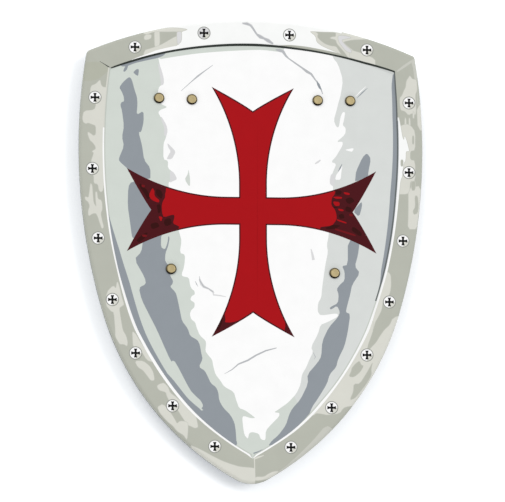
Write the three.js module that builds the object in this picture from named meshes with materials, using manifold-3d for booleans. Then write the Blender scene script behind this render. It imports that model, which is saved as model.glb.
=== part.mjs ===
// A toy knight shield of soft moulded foam board, lying face up on its two arm straps.
// Millimetres. +Z points out of the printed face, +Y towards the arched top edge, +X to the right
// as the face is looked at. The origin is on the surface it lies on, under the middle of the board.

import * as THREE from 'three';
import { mergeVertices } from 'three/addons/utils/BufferGeometryUtils.js';
import Module from 'manifold-3d';

const wasm = await Module();
wasm.setup();

// Outline of the board, a heater shield drawn with arcs
const HEIGHT = 430;
const WIDTH = 320;
const TOP_RADIUS = 384;
const SIDE_RADIUS = 538;
const LOWER_RADIUS = 261;
const SIDE_SWEEP = THREE.MathUtils.degToRad(16.8); // from the widest level down to the lower arc
const TIP_RADIUS = 28;
const CORNER_RADIUS = 4;

// Thickness, rounded edges and the raised rim
const BOARD_THICKNESS = 14;
const EDGE_RADIUS = 3;
const RIM_WIDTH = 22;
const RIM_STEP = 1.6; // the field lies this far below the face of the rim
const RIM_BEVEL = 2;
const FIELD_CORNER_RADIUS = 0.6;
const FIELD_TIP_RADIUS = 3;

// Arm straps of broad elastic webbing, bowed a little below the board
const STRAP_WIDTH = 44;
const STRAP_LOWER_WIDTH = 25;
const STRAP_TAPER = 44; // length over which the band is drawn together
const STRAP_THICKNESS = 2.5;
const STRAP_OVERHANG = 12; // past the rivets at both ends
const STRAP_END_FLAT = 9; // from a rivet to where the band leaves the board
const STRAP_SLOPE_RUN = 22;
const STRAP_CORNER_RADIUS = 3;
const ARM_GAP = 13.5; // free height between the flat run of a strap and the board
// Place of each strap's lower rivet, and the span from it to the middle of the upper pair. The straps
// are riveted on by hand, so the two differ a little.
const STRAPS = {
  left: { x: -75, y: -18, span: 158, lean: THREE.MathUtils.degToRad(-1.4) },
  right: { x: 76.8, y: -20.5, span: 161, lean: 0 },
};

// Rivets: a flat head on the face, a shank through board and strap, and a clenched tail
const UPPER_RIVET_SPACING = 30.5;
const HEAD_RADIUS = 4.9;
const HEAD_FLAT_RADIUS = 3.6;
const HEAD_THICKNESS = 1.5;
const SHANK_RADIUS = 1.8;
const TAIL_RADIUS = 4.3;
const TAIL_THICKNESS = 1.2;

const GAP = 0.3; // kept between touching pieces
const OVERRUN = 1; // how far a cutting shape runs past what it cuts

// Steps along each round stretch
const STEPS = { tip: 5, lower: 12, side: 14, corner: 3, top: 10, edge: 3, slope: 10, plan: 4, rivet: 20 };

const BACK_Z = STRAP_THICKNESS + ARM_GAP;
const RIM_Z = BACK_Z + BOARD_THICKNESS;
const FIELD_Z = RIM_Z - RIM_STEP;
const STRAP_END_Z = BACK_Z - GAP - STRAP_THICKNESS / 2; // middle of the band against the board
const STRAP_RUN_Z = STRAP_THICKNESS / 2; // middle of the band where it lies on the ground

const printedFoam = new THREE.MeshStandardMaterial({ color: 0xe9ecea, roughness: 0.55, metalness: 0 });
const elasticWebbing = new THREE.MeshStandardMaterial({ color: 0x1d1e20, roughness: 0.9, metalness: 0 });
const brass = new THREE.MeshStandardMaterial({ color: 0xc9a96b, roughness: 0.35, metalness: 1 });

// Solids: three.js geometry in, joined or cut, three.js geometry out

function toSolid(geometry) {
  const bare = geometry.clone();
  bare.deleteAttribute('normal');
  bare.deleteAttribute('uv');
  const merged = mergeVertices(bare, 1e-4);
  return new wasm.Manifold(
    new wasm.Mesh({
      numProp: 3,
      vertProperties: new Float32Array(merged.attributes.position.array),
      triVerts: new Uint32Array(merged.index.array),
    }),
  );
}

function toGeometry(solid) {
  const { vertProperties, triVerts } = solid.getMesh();
  const geometry = new THREE.BufferGeometry();
  geometry.setAttribute('position', new THREE.BufferAttribute(new Float32Array(vertProperties), 3));
  geometry.setIndex(new THREE.BufferAttribute(new Uint32Array(triVerts), 1));
  geometry.computeVertexNormals();
  return geometry;
}

// The solid less a hole for a rivet's shank at each place
function drill(solid, places) {
  return places.reduce((rest, { x, y }) => {
    const radius = SHANK_RADIUS + GAP;
    const hole = new THREE.CylinderGeometry(radius, radius, RIM_Z + 2 * OVERRUN, STEPS.rivet);
    hole.rotateX(Math.PI / 2);
    hole.translate(x, y, RIM_Z / 2);
    return rest.subtract(toSolid(hole));
  }, solid);
}

// Outline

function arc(centre, radius, from, to, segments) {
  return Array.from({ length: segments + 1 }, (_, i) => {
    const angle = from + ((to - from) * i) / segments;
    return new THREE.Vector2(centre.x + radius * Math.cos(angle), centre.y + radius * Math.sin(angle));
  });
}

// The upper of the two points at distance r from p and s from q, with q to the left of p
function meet(p, r, q, s) {
  const along = new THREE.Vector2().subVectors(q, p);
  const distance = along.length();
  const foot = (r * r - s * s + distance * distance) / (2 * distance);
  const height = Math.sqrt(r * r - foot * foot);
  along.normalize();
  return new THREE.Vector2(
    p.x + along.x * foot + along.y * height,
    p.y + along.y * foot - along.x * height,
  );
}

// The shield's outline moved inwards, with its own corner and tip radii
function shieldOutline(inset, cornerRadius, tipRadius) {
  const lowerX = WIDTH / 2 - SIDE_RADIUS + (SIDE_RADIUS - LOWER_RADIUS) * Math.cos(SIDE_SWEEP);
  const lowerY = -HEIGHT / 2 + TIP_RADIUS + Math.sqrt((LOWER_RADIUS - TIP_RADIUS) ** 2 - lowerX ** 2);
  const lower = new THREE.Vector2(lowerX, lowerY);
  const widestY = lowerY + (SIDE_RADIUS - LOWER_RADIUS) * Math.sin(SIDE_SWEEP);
  const side = new THREE.Vector2(WIDTH / 2 - SIDE_RADIUS, widestY);
  const top = new THREE.Vector2(0, HEIGHT / 2 - TOP_RADIUS);

  const [topR, sideR, lowerR] = [TOP_RADIUS, SIDE_RADIUS, LOWER_RADIUS].map((r) => r - inset);
  const corner = meet(top, topR - cornerRadius, side, sideR - cornerRadius);
  const tip = new THREE.Vector2(0, lowerY - Math.sqrt((lowerR - tipRadius) ** 2 - lowerX ** 2));
  const bearing = (to, from) => Math.atan2(to.y - from.y, to.x - from.x);

  const right = [
    ...arc(tip, tipRadius, -Math.PI / 2, bearing(tip, lower), STEPS.tip),
    ...arc(lower, lowerR, bearing(tip, lower), -SIDE_SWEEP, STEPS.lower).slice(1),
    ...arc(side, sideR, -SIDE_SWEEP, bearing(corner, side), STEPS.side).slice(1),
    ...arc(corner, cornerRadius, bearing(corner, side), bearing(corner, top), STEPS.corner).slice(1),
    ...arc(top, topR, bearing(corner, top), Math.PI / 2, STEPS.top).slice(1),
  ];
  const left = right.slice(1, -1).reverse().map((p) => new THREE.Vector2(-p.x, p.y));
  return new THREE.Shape([...right, ...left]);
}

// Board

function buildBoard(rivets) {
  const body = new THREE.ExtrudeGeometry(shieldOutline(0, CORNER_RADIUS, TIP_RADIUS), {
    depth: BOARD_THICKNESS - 2 * EDGE_RADIUS,
    bevelThickness: EDGE_RADIUS,
    bevelSize: EDGE_RADIUS,
    bevelOffset: -EDGE_RADIUS,
    bevelSegments: STEPS.edge,
  });
  body.translate(0, 0, BACK_Z + EDGE_RADIUS);

  // The sunk field: a tray whose sloping wall is the bevel of the rim, open at the face
  const floorOutline = shieldOutline(RIM_WIDTH + RIM_BEVEL, FIELD_CORNER_RADIUS, FIELD_TIP_RADIUS);
  const field = new THREE.ExtrudeGeometry(floorOutline, {
    depth: RIM_STEP,
    bevelThickness: RIM_STEP,
    bevelSize: RIM_BEVEL,
    bevelSegments: 1,
  });
  field.translate(0, 0, FIELD_Z + RIM_STEP);
  return toGeometry(drill(toSolid(body).subtract(toSolid(field)), rivets));
}

// Straps, drawn with the lower rivet at x = 0, y = 0 and the upper pair at y = span

// Height of the middle of the band: against the board at both ends, on the ground between
function strapHeight(span, y) {
  const fromRivet = Math.min(y, span - y);
  const t = THREE.MathUtils.clamp((fromRivet - STRAP_END_FLAT) / STRAP_SLOPE_RUN, 0, 1);
  return THREE.MathUtils.lerp(STRAP_END_Z, STRAP_RUN_Z, THREE.MathUtils.smootherstep(t, 0, 1));
}

// The band seen from the side: its middle line thickened both ways
function strapSideView(span) {
  const nearby = 0.05;
  const slope = Array.from(
    { length: STEPS.slope + 1 },
    (_, i) => STRAP_END_FLAT + (STRAP_SLOPE_RUN * i) / STEPS.slope,
  );
  const stations = [
    -STRAP_OVERHANG,
    ...slope,
    ...slope.map((y) => span - y).reverse(),
    span + STRAP_OVERHANG,
  ];
  const face = (offset) =>
    stations.map((y) => {
      const rise = (strapHeight(span, y + nearby) - strapHeight(span, y - nearby)) / (2 * nearby);
      const length = Math.hypot(1, rise);
      return new THREE.Vector2(y - (offset * rise) / length, strapHeight(span, y) + offset / length);
    });
  const underside = face(-STRAP_THICKNESS / 2);
  const upside = face(STRAP_THICKNESS / 2).reverse();
  return new THREE.Shape([...underside, ...upside]);
}

// The band seen from above: full width at the upper rivets, drawn together at the lower one
function strapPlan(span) {
  const half = STRAP_WIDTH / 2;
  const lowerRadius = STRAP_LOWER_WIDTH / 2;
  const top = span + STRAP_OVERHANG;
  const r = STRAP_CORNER_RADIUS;
  const plan = new THREE.Shape();
  plan.moveTo(half, STRAP_TAPER);
  plan.lineTo(half, top - r);
  plan.absarc(half - r, top - r, r, 0, Math.PI / 2, false);
  plan.absarc(r - half, top - r, r, Math.PI / 2, Math.PI, false);
  plan.lineTo(-half, STRAP_TAPER);
  plan.bezierCurveTo(-half, STRAP_TAPER / 2, -lowerRadius, STRAP_TAPER / 2, -lowerRadius, 0);
  plan.absarc(0, 0, lowerRadius, Math.PI, 2 * Math.PI, false);
  plan.bezierCurveTo(lowerRadius, STRAP_TAPER / 2, half, STRAP_TAPER / 2, half, STRAP_TAPER);
  return plan;
}

function buildStrap(span) {
  const side = new THREE.ExtrudeGeometry(strapSideView(span), {
    depth: STRAP_WIDTH + 2 * OVERRUN,
    bevelEnabled: false,
  });
  // Turn the side view's own X, Y and depth to Y, Z and X
  side.rotateX(Math.PI / 2);
  side.rotateZ(Math.PI / 2);
  side.translate(-STRAP_WIDTH / 2 - OVERRUN, 0, 0);

  const plan = new THREE.ExtrudeGeometry(strapPlan(span), {
    depth: BACK_Z + 2 * OVERRUN,
    bevelEnabled: false,
    curveSegments: STEPS.plan,
  });
  plan.translate(0, 0, -OVERRUN);

  return toGeometry(drill(toSolid(side).intersect(toSolid(plan)), rivetSeats(span)));
}

// Rivets

// Places of a strap's three rivets in the strap's own frame
function rivetSeats(span) {
  return [
    { place: 'lower', x: 0, y: 0 },
    { place: 'upper_left', x: -UPPER_RIVET_SPACING / 2, y: span },
    { place: 'upper_right', x: UPPER_RIVET_SPACING / 2, y: span },
  ];
}

function rivetPlaces(side) {
  const { x, y, span, lean } = STRAPS[side];
  return rivetSeats(span).map((seat) => {
    const spot = new THREE.Vector2(seat.x, seat.y).rotateAround(new THREE.Vector2(), lean);
    return { name: `rivet_${side}_${seat.place}`, x: x + spot.x, y: y + spot.y };
  });
}

function buildRivet() {
  const headLow = FIELD_Z + GAP;
  const headHigh = headLow + HEAD_THICKNESS;
  const tailHigh = STRAP_END_Z - STRAP_THICKNESS / 2 - GAP;
  const tailLow = tailHigh - TAIL_THICKNESS;
  const profile = [
    [0, tailLow],
    [TAIL_RADIUS * 0.8, tailLow],
    [TAIL_RADIUS, tailLow + TAIL_THICKNESS * 0.4],
    [TAIL_RADIUS, tailHigh],
    [SHANK_RADIUS, tailHigh],
    [SHANK_RADIUS, headLow],
    [HEAD_RADIUS, headLow],
    [HEAD_RADIUS, headLow + HEAD_THICKNESS * 0.35],
    [(HEAD_RADIUS + HEAD_FLAT_RADIUS) / 2, headLow + HEAD_THICKNESS * 0.85],
    [HEAD_FLAT_RADIUS, headHigh],
    [0, headHigh],
  ].map(([r, z]) => new THREE.Vector2(r, z));
  const geometry = new THREE.LatheGeometry(profile, STEPS.rivet);
  geometry.rotateX(Math.PI / 2);
  return geometry;
}

// Scene graph

const shield = new THREE.Group();

function addPiece(name, geometry, material) {
  const mesh = new THREE.Mesh(geometry, material);
  mesh.name = name;
  shield.add(mesh);
  return mesh;
}

const rivets = Object.keys(STRAPS).flatMap(rivetPlaces);

addPiece('shield_board', buildBoard(rivets), printedFoam);

for (const [side, { x, y, span, lean }] of Object.entries(STRAPS)) {
  const strap = addPiece(`strap_${side}`, buildStrap(span), elasticWebbing);
  strap.position.set(x, y, 0);
  strap.rotation.z = lean;
}

for (const { name, x, y } of rivets) {
  addPiece(name, buildRivet(), brass).position.set(x, y, 0);
}

export default shield;
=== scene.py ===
"""A toy knight shield: a soft moulded foam board with a printed skin, lying face up on its arm straps.

Sizes are in millimetres until a mesh is made, and a mesh is in metres. +Z points out of the printed
face and +Y towards the arched top edge. The print's outlines were read in the photograph's frame of
505 x 502 pixels, and are laid on the board by the same camera that the render uses.
"""

import math

import bmesh
import bpy
import numpy as np
from bpy.props import FloatProperty, FloatVectorProperty, PointerProperty
from bpy.types import Operator, Panel, PropertyGroup
from mathutils import Matrix, Vector
from mathutils.geometry import delaunay_2d_cdt


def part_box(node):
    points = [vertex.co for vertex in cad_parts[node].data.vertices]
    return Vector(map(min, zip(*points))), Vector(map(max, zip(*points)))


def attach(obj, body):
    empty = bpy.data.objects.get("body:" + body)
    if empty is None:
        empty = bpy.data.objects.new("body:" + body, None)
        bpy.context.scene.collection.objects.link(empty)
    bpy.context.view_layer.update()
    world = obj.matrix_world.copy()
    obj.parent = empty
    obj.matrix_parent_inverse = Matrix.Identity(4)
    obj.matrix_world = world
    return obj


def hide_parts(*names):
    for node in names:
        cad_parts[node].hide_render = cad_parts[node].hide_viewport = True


bl_info = {
    "name": "Toy knight shield",
    "version": (1, 0, 0),
    "blender": (4, 5, 0),
    "location": "View3D > Sidebar > Shield",
    "description": "Builds a foam toy shield with a printed skin, two elastic arm straps and brass rivets",
    "category": "Object",
}

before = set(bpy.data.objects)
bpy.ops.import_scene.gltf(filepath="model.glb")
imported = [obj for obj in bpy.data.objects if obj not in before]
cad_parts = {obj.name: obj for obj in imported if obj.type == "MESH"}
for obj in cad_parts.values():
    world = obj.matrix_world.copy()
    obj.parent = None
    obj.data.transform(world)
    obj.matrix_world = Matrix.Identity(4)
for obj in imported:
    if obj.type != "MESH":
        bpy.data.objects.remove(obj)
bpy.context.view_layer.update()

MM = 0.001


def frame_box(node):
    """A node's lowest and highest corners, in millimetres."""
    return [np.array(corner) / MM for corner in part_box(node)]


def srgb(code):
    """An sRGB hex colour as linear red, green and blue."""
    shares = [int(code[i : i + 2], 16) / 255 for i in (1, 3, 5)]
    return tuple(s / 12.92 if s <= 0.04045 else ((s + 0.055) / 1.055) ** 2.4 for s in shares)


# Outline of the board, as in the solid
TOP_RADIUS = 384
SIDE_RADIUS = 538
LOWER_RADIUS = 261
SIDE_SWEEP = math.radians(16.8)
TIP_RADIUS = 28
CORNER_RADIUS = 4
FIELD_TIP_RADIUS = 3
FIELD_CORNER_RADIUS = 0.6
BEVEL_WIDTH = 2
HOLE_RADIUS = 2.1

BOARD_LOW, BOARD_HIGH = frame_box("shield_board")
BACK_Z, RIM_Z = BOARD_LOW[2], BOARD_HIGH[2]

SIDES = ("left", "right")
SEATS = ("lower", "upper_left", "upper_right")
RIVETS = {
    f"rivet_{side}_{seat}": (np.add(*frame_box(f"rivet_{side}_{seat}")) / 2)[:2]
    for side in SIDES
    for seat in SEATS
}

# The camera, which looks down on the board from a little to the lower left
PHOTO_SIZE = (505, 502)
CAMERA_TILT = math.radians(9)
CAMERA_AZIMUTH = math.radians(220)
CAMERA_ROLL = math.radians(-0.0832)
CAMERA_DISTANCE = 3000
CAMERA_AIM = np.array([0.377, -0.669, 28])
FOCAL_PIXELS = 3252.6
SENSOR_WIDTH = 36


def camera_axes():
    """The camera's right, up and backward directions."""
    level = math.sin(CAMERA_TILT)
    back = np.array(
        [level * math.cos(CAMERA_AZIMUTH), level * math.sin(CAMERA_AZIMUTH), math.cos(CAMERA_TILT)]
    )
    right = np.cross([0, 1, 0], back)
    right /= np.linalg.norm(right)
    up = np.cross(back, right)
    cos, sin = math.cos(CAMERA_ROLL), math.sin(CAMERA_ROLL)
    return right * cos + up * sin, up * cos - right * sin, back


RIGHT, UP, BACK = camera_axes()
CAMERA_PLACE = CAMERA_AIM + BACK * CAMERA_DISTANCE


def placed(pixels, level):
    """The places in millimetres, at one height, that the photograph shows at these pixels."""
    across, down = (np.asarray(pixels, float) - np.array(PHOTO_SIZE) / 2).T / FOCAL_PIXELS
    rays = np.outer(across, RIGHT) - np.outer(down, UP) - BACK
    return (CAMERA_PLACE + rays * ((level - CAMERA_PLACE[2]) / rays[:, 2])[:, None])[:, :2]


# Settings that a user would change


def length(name, description, default, **options):
    """A length property, in metres."""
    return FloatProperty(name=name, description=description, default=default, unit="LENGTH", **options)


def brightness(name, description, default):
    """A property for the strength of a light."""
    return FloatProperty(name=name, description=description, default=default, min=0)


def colour(name, description, code):
    """A colour property, from an sRGB hex value."""
    return FloatVectorProperty(
        name=name, description=description, default=srgb(code), subtype="COLOR", size=3, min=0, max=1
    )


class BoardSettings(PropertyGroup):
    """Sizes of the foam board and colours of its print."""

    height: length("Height", "From the tip to the crown of the top arc", (BOARD_HIGH - BOARD_LOW)[1] * MM)
    width: length("Width", "Across the widest level", (BOARD_HIGH - BOARD_LOW)[0] * MM)
    edge_radius: length("Edge radius", "Rounding of the moulded edge, front and back", 0.003)
    rim_width: length("Rim width", "From the outline to the bevel of the field", 0.022)
    rim_step: length("Rim step", "How far the field lies below the rim", 0.0016)
    dimple: length("Dimple", "How far a rivet pulls the foam down", 0.0005)
    white: colour("White", "Field in the middle and discs of the printed studs", "#E4E4E4")
    grey_left: colour("Grey, left", "Field left of the middle", "#BDC3BD")
    grey_right: colour("Grey, right", "Field right of the middle", "#C3C6C4")
    slate: colour("Slate", "Worn bands of the field", "#83898F")
    red: colour("Red", "Cross", "#980009")
    crimson: colour("Crimson", "Faint specks left in the wear of the cross", "#63050E")
    maroon: colour("Maroon", "Outline and wear of the cross", "#41050D")
    deep: colour("Deep maroon", "Darkest wear of the cross", "#2D0000")
    beige: colour("Beige", "Rim", "#A5A79D")
    olive: colour("Olive", "Darker patches of the rim", "#A2A497")
    pale: colour("Pale", "Worn patches of the rim", "#C4C4BC")
    bare: colour("Bare", "Brightest patches of the rim", "#E1E2E1")
    dark: colour("Dark line", "Thin line that parts rim and field", "#2E3330")
    scratch: colour("Scratch", "Printed scratches", "#A7A9AC")
    stud: colour("Stud", "Crosses of the printed studs", "#050606")
    line: colour("Line", "Darker edge of the slate line on the right", "#5C6161")
    ring: colour("Ring", "Thin rings round the printed studs", "#848681")
    blend: colour("Blend", "Soft edges of the rim's patches", "#B4B5AD")
    light: colour("Light", "Between the bare top and the worn patches", "#C5C5C6")
    shade: colour("Shade", "Thin grey line beside the white one", "#B2B7B0")
    foam: colour("Foam", "Bare foam of the back", "#2B2D30")


class StrapSettings(PropertyGroup):
    """Sizes and colour of the elastic arm straps."""

    thickness: length("Thickness", "Over the ribs of the band", 0.0023)
    rib_pitch: length("Rib pitch", "From one lengthwise rib to the next", 0.002)
    rib_depth: length("Rib depth", "Height of a rib over its groove", 0.00035)
    webbing: colour("Webbing", "Black elastic yarn", "#1B1C1E")


class RivetSettings(PropertyGroup):
    """Sizes and colour of the brass rivets."""

    head_radius: length("Head radius", "Outer radius of the flat head", 0.0049)
    flat_radius: length("Flat radius", "Radius of the head's flat middle", 0.0032)
    brass: colour("Brass", "Dull pressed brass", "#A69873")
    # The shoulder's brown is tarnish, made darker as a painted reflection of dark surroundings.
    tarnish: colour("Tarnish", "Brown film on the shoulder of the head", "#776C4F")
    # Painted shade: black on the lower side of each rivet's shoulder, as a sheet of colour on the brass.
    painted_shade: colour("Painted shade", "Black film low on the shoulder, where sweat and dirt gather", "#1C1710")


class StageSettings(PropertyGroup):
    """Floor and lights."""

    key_strength: brightness("Key light", "Strength from the right", 0.98)
    side_strength: brightness("Side light", "Strength from the upper left", 0.94)
    fill_strength: brightness("Fill light", "Strength of the white room", 0.75)
    glow: brightness("Floor glow", "Light that comes up through the white table", 0.22)
    floor: colour("Floor", "Plain pale floor", "#FCFCFC")


# Meshes


def make_mesh(name, points, faces, materials, slots=None, normals=None, smooth=True):
    """An object from points in millimetres, with one material slot number for each face."""
    mesh = bpy.data.meshes.new(name)
    mesh.from_pydata([Vector(p) * MM for p in points], [], faces)
    for material in materials:
        mesh.materials.append(material)
    if slots is not None:
        mesh.polygons.foreach_set("material_index", slots)
    mesh.polygons.foreach_set("use_smooth", [smooth] * len(mesh.polygons))
    mesh.validate()
    if normals is not None:
        mesh.normals_split_custom_set_from_vertices([tuple(n) for n in normals])
    piece = bpy.data.objects.new(name, mesh)
    bpy.context.scene.collection.objects.link(piece)
    return piece


def keep_outside_out(piece):
    """Turns the faces of a closed piece outwards."""
    form = bmesh.new()
    form.from_mesh(piece.data)
    bmesh.ops.recalc_face_normals(form, faces=form.faces)
    form.to_mesh(piece.data)
    form.free()


# Materials


def add_node(material, kind, settings=None, **links):
    """Adds a shader node. A link's name is the socket's, with _ for a space, and its value the output."""
    tree = material.node_tree
    node = tree.nodes.new(kind)
    for name, value in (settings or {}).items():
        if name in node.inputs:
            node.inputs[name].default_value = value
        else:
            setattr(node, name, value)
    for name, output in links.items():
        socket = node.inputs[int(name[1:])] if name[1:].isdigit() else node.inputs[name.replace("_", " ")]
        tree.links.new(output, socket)
    return node


MIX_COLOURS = (6, 7)  # the mix node's sockets when it mixes colours
MIX_RESULT = 2
WAVE_BANDS = 2 * math.pi / 20  # the wave texture's scale for one band in each unit of length


def new_material(name, **sockets):
    """A node material, its shader with these sockets set, and the object's own coordinates."""
    material = bpy.data.materials.new(name)
    material.use_nodes = True
    shader = material.node_tree.nodes["Principled BSDF"]
    for socket, value in sockets.items():
        shader.inputs[socket.replace("_", " ")].default_value = value
    return material, shader, add_node(material, "ShaderNodeTexCoord").outputs["Object"]


def per_metre(size):
    """How often a pattern of this size, in millimetres, fits in a metre."""
    return 1 / (size * MM)


def toned(tint, share=1):
    """A colour made darker or lighter by a share, with its alpha."""
    return tuple(min(c * share, 1) for c in tint) + (1,)


def finish_surface(material, shader, shades, cloud, relief, grain, gloss=None):
    """Lays two shades by one pattern, and a relief of some strength and depth in millimetres by another.

    Where there is gloss, it is a pattern with the least and the most roughness that it gives.
    """
    mix = add_node(material, "ShaderNodeMix", {"data_type": "RGBA"}, _0=cloud)
    for socket, tint in zip(MIX_COLOURS, shades):
        mix.inputs[socket].default_value = tint
    strength, depth = relief
    bump = add_node(material, "ShaderNodeBump", {"Strength": strength, "Distance": depth * MM}, Height=grain)
    outputs = {"Base Color": mix.outputs[MIX_RESULT], "Normal": bump.outputs["Normal"]}
    if gloss:
        pattern, least, most = gloss
        rough = add_node(material, "ShaderNodeMapRange", {"To Min": least, "To Max": most}, Value=pattern)
        outputs["Roughness"] = rough.outputs["Result"]
    for socket, output in outputs.items():
        material.node_tree.links.new(output, shader.inputs[socket])


GRAIN_MM = 0.9  # the skin's pebbling is nearer 0.4 mm, drawn coarser so that it shows
CLOUD_MM = 14
INK_CLOUD = 0.035  # how much lighter or darker the ink lies from place to place


def printed_skin(name, ink):
    """Printed EVA foam skin, hot pressed: satin, faintly pebbled, ink a little uneven."""
    material, shader, place = new_material(f"printed_skin_{name}", IOR=1.48, Specular_IOR_Level=0.09)
    cloud, grain = (
        add_node(
            material, "ShaderNodeTexNoise", {"Scale": per_metre(size), "Detail": detail}, Vector=place
        ).outputs["Fac"]
        for size, detail in ((CLOUD_MM, 3.0), (GRAIN_MM, 2.0))
    )
    shades = toned(ink, 1 - INK_CLOUD), toned(ink, 1 + INK_CLOUD)
    finish_surface(material, shader, shades, cloud, (0.12, 0.05), grain, (grain, 0.46, 0.58))
    return material


CELL_MM = 0.7  # closed cells of EVA are nearer 0.3 mm, drawn coarser so that they show


def bare_foam(tint):
    """EVA foam, skived and left bare: dark, matt, with fine open pores."""
    material, shader, place = new_material("eva_foam_bare", Roughness=0.85, Specular_IOR_Level=0.3)
    cells = add_node(material, "ShaderNodeTexVoronoi", {"Scale": per_metre(CELL_MM)}, Vector=place)
    cloud = add_node(material, "ShaderNodeTexNoise", {"Scale": per_metre(CLOUD_MM)}, Vector=place)
    shades = toned(tint, 0.8), toned(tint, 1.25)
    finish_surface(material, shader, shades, cloud.outputs["Fac"], (0.35, 0.12), cells.outputs["Distance"])
    return material


PICK_MM = 1.1  # crosswise threads lie about 0.6 mm apart, drawn coarser so that they show
YARN_MM = 0.35


def elastic_webbing(tint):
    """Woven polyester over rubber threads: soft black, ribbed, with fine crosswise picks."""
    material, shader, place = new_material(
        "elastic_webbing", Roughness=0.8, Sheen_Weight=0.25, Sheen_Roughness=0.4
    )
    weave = {"Scale": per_metre(PICK_MM) * WAVE_BANDS, "bands_direction": "Y", "Distortion": 0.6}
    picks = add_node(material, "ShaderNodeTexWave", weave, Vector=place).outputs["Fac"]
    fibre = {"Scale": per_metre(YARN_MM), "Detail": 3.0}
    yarn = add_node(material, "ShaderNodeTexNoise", fibre, Vector=place).outputs["Fac"]
    height = add_node(material, "ShaderNodeMath", {"operation": "ADD"}, _0=picks, _1=yarn)
    shades = toned(tint, 0.6), toned(tint, 1.5)
    finish_surface(material, shader, shades, picks, (0.5, 0.15), height.outputs["Value"])
    return material


STAIN_MM = 2.2
TURNING_MM = 0.5


def brass(name, metal, film, least_rough, most_rough):
    """Pressed brass, handled: a soft yellow shine under a thin brown film."""
    material, shader, place = new_material(name, Metallic=1)
    spots = {"Scale": per_metre(STAIN_MM), "Detail": 4.0}
    stain = add_node(material, "ShaderNodeTexNoise", spots, Vector=place).outputs["Fac"]
    grain = add_node(material, "ShaderNodeTexNoise", {"Scale": per_metre(TURNING_MM)}, Vector=place)
    gloss = (stain, least_rough, most_rough)
    shades = toned(metal), toned(film)
    finish_surface(material, shader, shades, stain, (0.1, 0.03), grain.outputs["Fac"], gloss)
    return material


LAMP_TINT = (0.8, 0.9, 1, 1)  # cool white, which shows in the shadows
SHEET_CLOUD_MM = 1000 / 3


def light_table(tint, glow):
    """White acrylic light table: matt, and faintly lit from below, which thins the shadows on it."""
    material, shader, place = new_material(
        "acrylic_light_table",
        Base_Color=toned(tint),
        Specular_IOR_Level=0,
        Emission_Color=LAMP_TINT,
        Emission_Strength=glow,
    )
    spots = {"Scale": per_metre(SHEET_CLOUD_MM)}
    cloud = add_node(material, "ShaderNodeTexNoise", spots, Vector=place).outputs["Fac"]
    gloss = add_node(material, "ShaderNodeMapRange", {"To Min": 0.85, "To Max": 0.95}, Value=cloud)
    material.node_tree.links.new(gloss.outputs["Result"], shader.inputs["Roughness"])
    return material


# Plane shapes, as arrays of points


def smooth_step(share):
    """Rises from 0 to 1 with level ends."""
    t = np.clip(share, 0, 1)
    return t * t * (3 - 2 * t)


def arc(centre, radius, start, end, spacing):
    """Points along an arc, ends included."""
    steps = max(2, math.ceil(abs(end - start) * radius / spacing))
    turn = np.linspace(start, end, steps + 1)
    return np.asarray(centre) + radius * np.stack([np.cos(turn), np.sin(turn)], -1)


def disc(centre, radius, steps=28):
    """A circle's points, without the first one again."""
    turn = np.arange(steps) * 2 * math.pi / steps
    return np.asarray(centre) + radius * np.stack([np.cos(turn), np.sin(turn)], -1)


def bearing(to, start):
    """Direction from start to a point."""
    return math.atan2(to[1] - start[1], to[0] - start[0])


def meet(p, r, q, s):
    """The upper of the two points at distance r from p and s from q, with q to the left of p."""
    along = np.subtract(q, p)
    distance = np.hypot(*along)
    foot = (r * r - s * s + distance * distance) / (2 * distance)
    rise = math.sqrt(r * r - foot * foot)
    along = along / distance
    return np.array([p[0] + along[0] * foot + along[1] * rise, p[1] + along[1] * foot - along[0] * rise])


def inside(points, outline):
    """Which points lie inside a closed outline."""
    low, high = outline.min(0), outline.max(0)
    near = np.flatnonzero(((points >= low) & (points <= high)).all(1))
    found = np.zeros(len(points), bool)
    if not len(near):
        return found
    x, y = points[near].T
    odd = np.zeros(len(near), bool)
    for (ax, ay), (bx, by) in zip(outline, np.roll(outline, -1, 0)):
        if ay != by:
            crosses = (ay > y) != (by > y)
            odd ^= crosses & (x < ax + (y - ay) * (bx - ax) / (by - ay))
    found[near] = odd
    return found


def soften(outline, share=0.2):
    """Cuts each corner of a closed outline once, as ink rounds it."""
    after = np.roll(outline, -1, 0)
    near, far = outline + (after - outline) * share, outline + (after - outline) * (1 - share)
    return np.stack([near, far], 1).reshape(-1, 2)


SHARPEST = 0.5  # keeps a sharp corner from reaching far out when an outline grows


def grow(outline, by):
    """A closed outline, drawn anticlockwise, moved outwards."""
    ahead = np.roll(outline, -1, 0) - outline
    ahead /= np.hypot(*ahead.T)[:, None]
    normal = np.stack([ahead[:, 1], -ahead[:, 0]], -1)
    both = normal + np.roll(normal, 1, 0)
    return outline + both * (2 * by / np.maximum((both**2).sum(1), SHARPEST))[:, None]


def stroke(spine, widths):
    """A line of changing width as a closed outline. widths are at the spine's points."""
    spine = np.asarray(spine, float)
    ahead = np.gradient(spine, axis=0)
    ahead /= np.hypot(*ahead.T)[:, None]
    side = np.stack([-ahead[:, 1], ahead[:, 0]], -1) * (np.asarray(widths, float) / 2)[:, None]
    return np.concatenate([spine + side, (spine - side)[::-1]])


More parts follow.
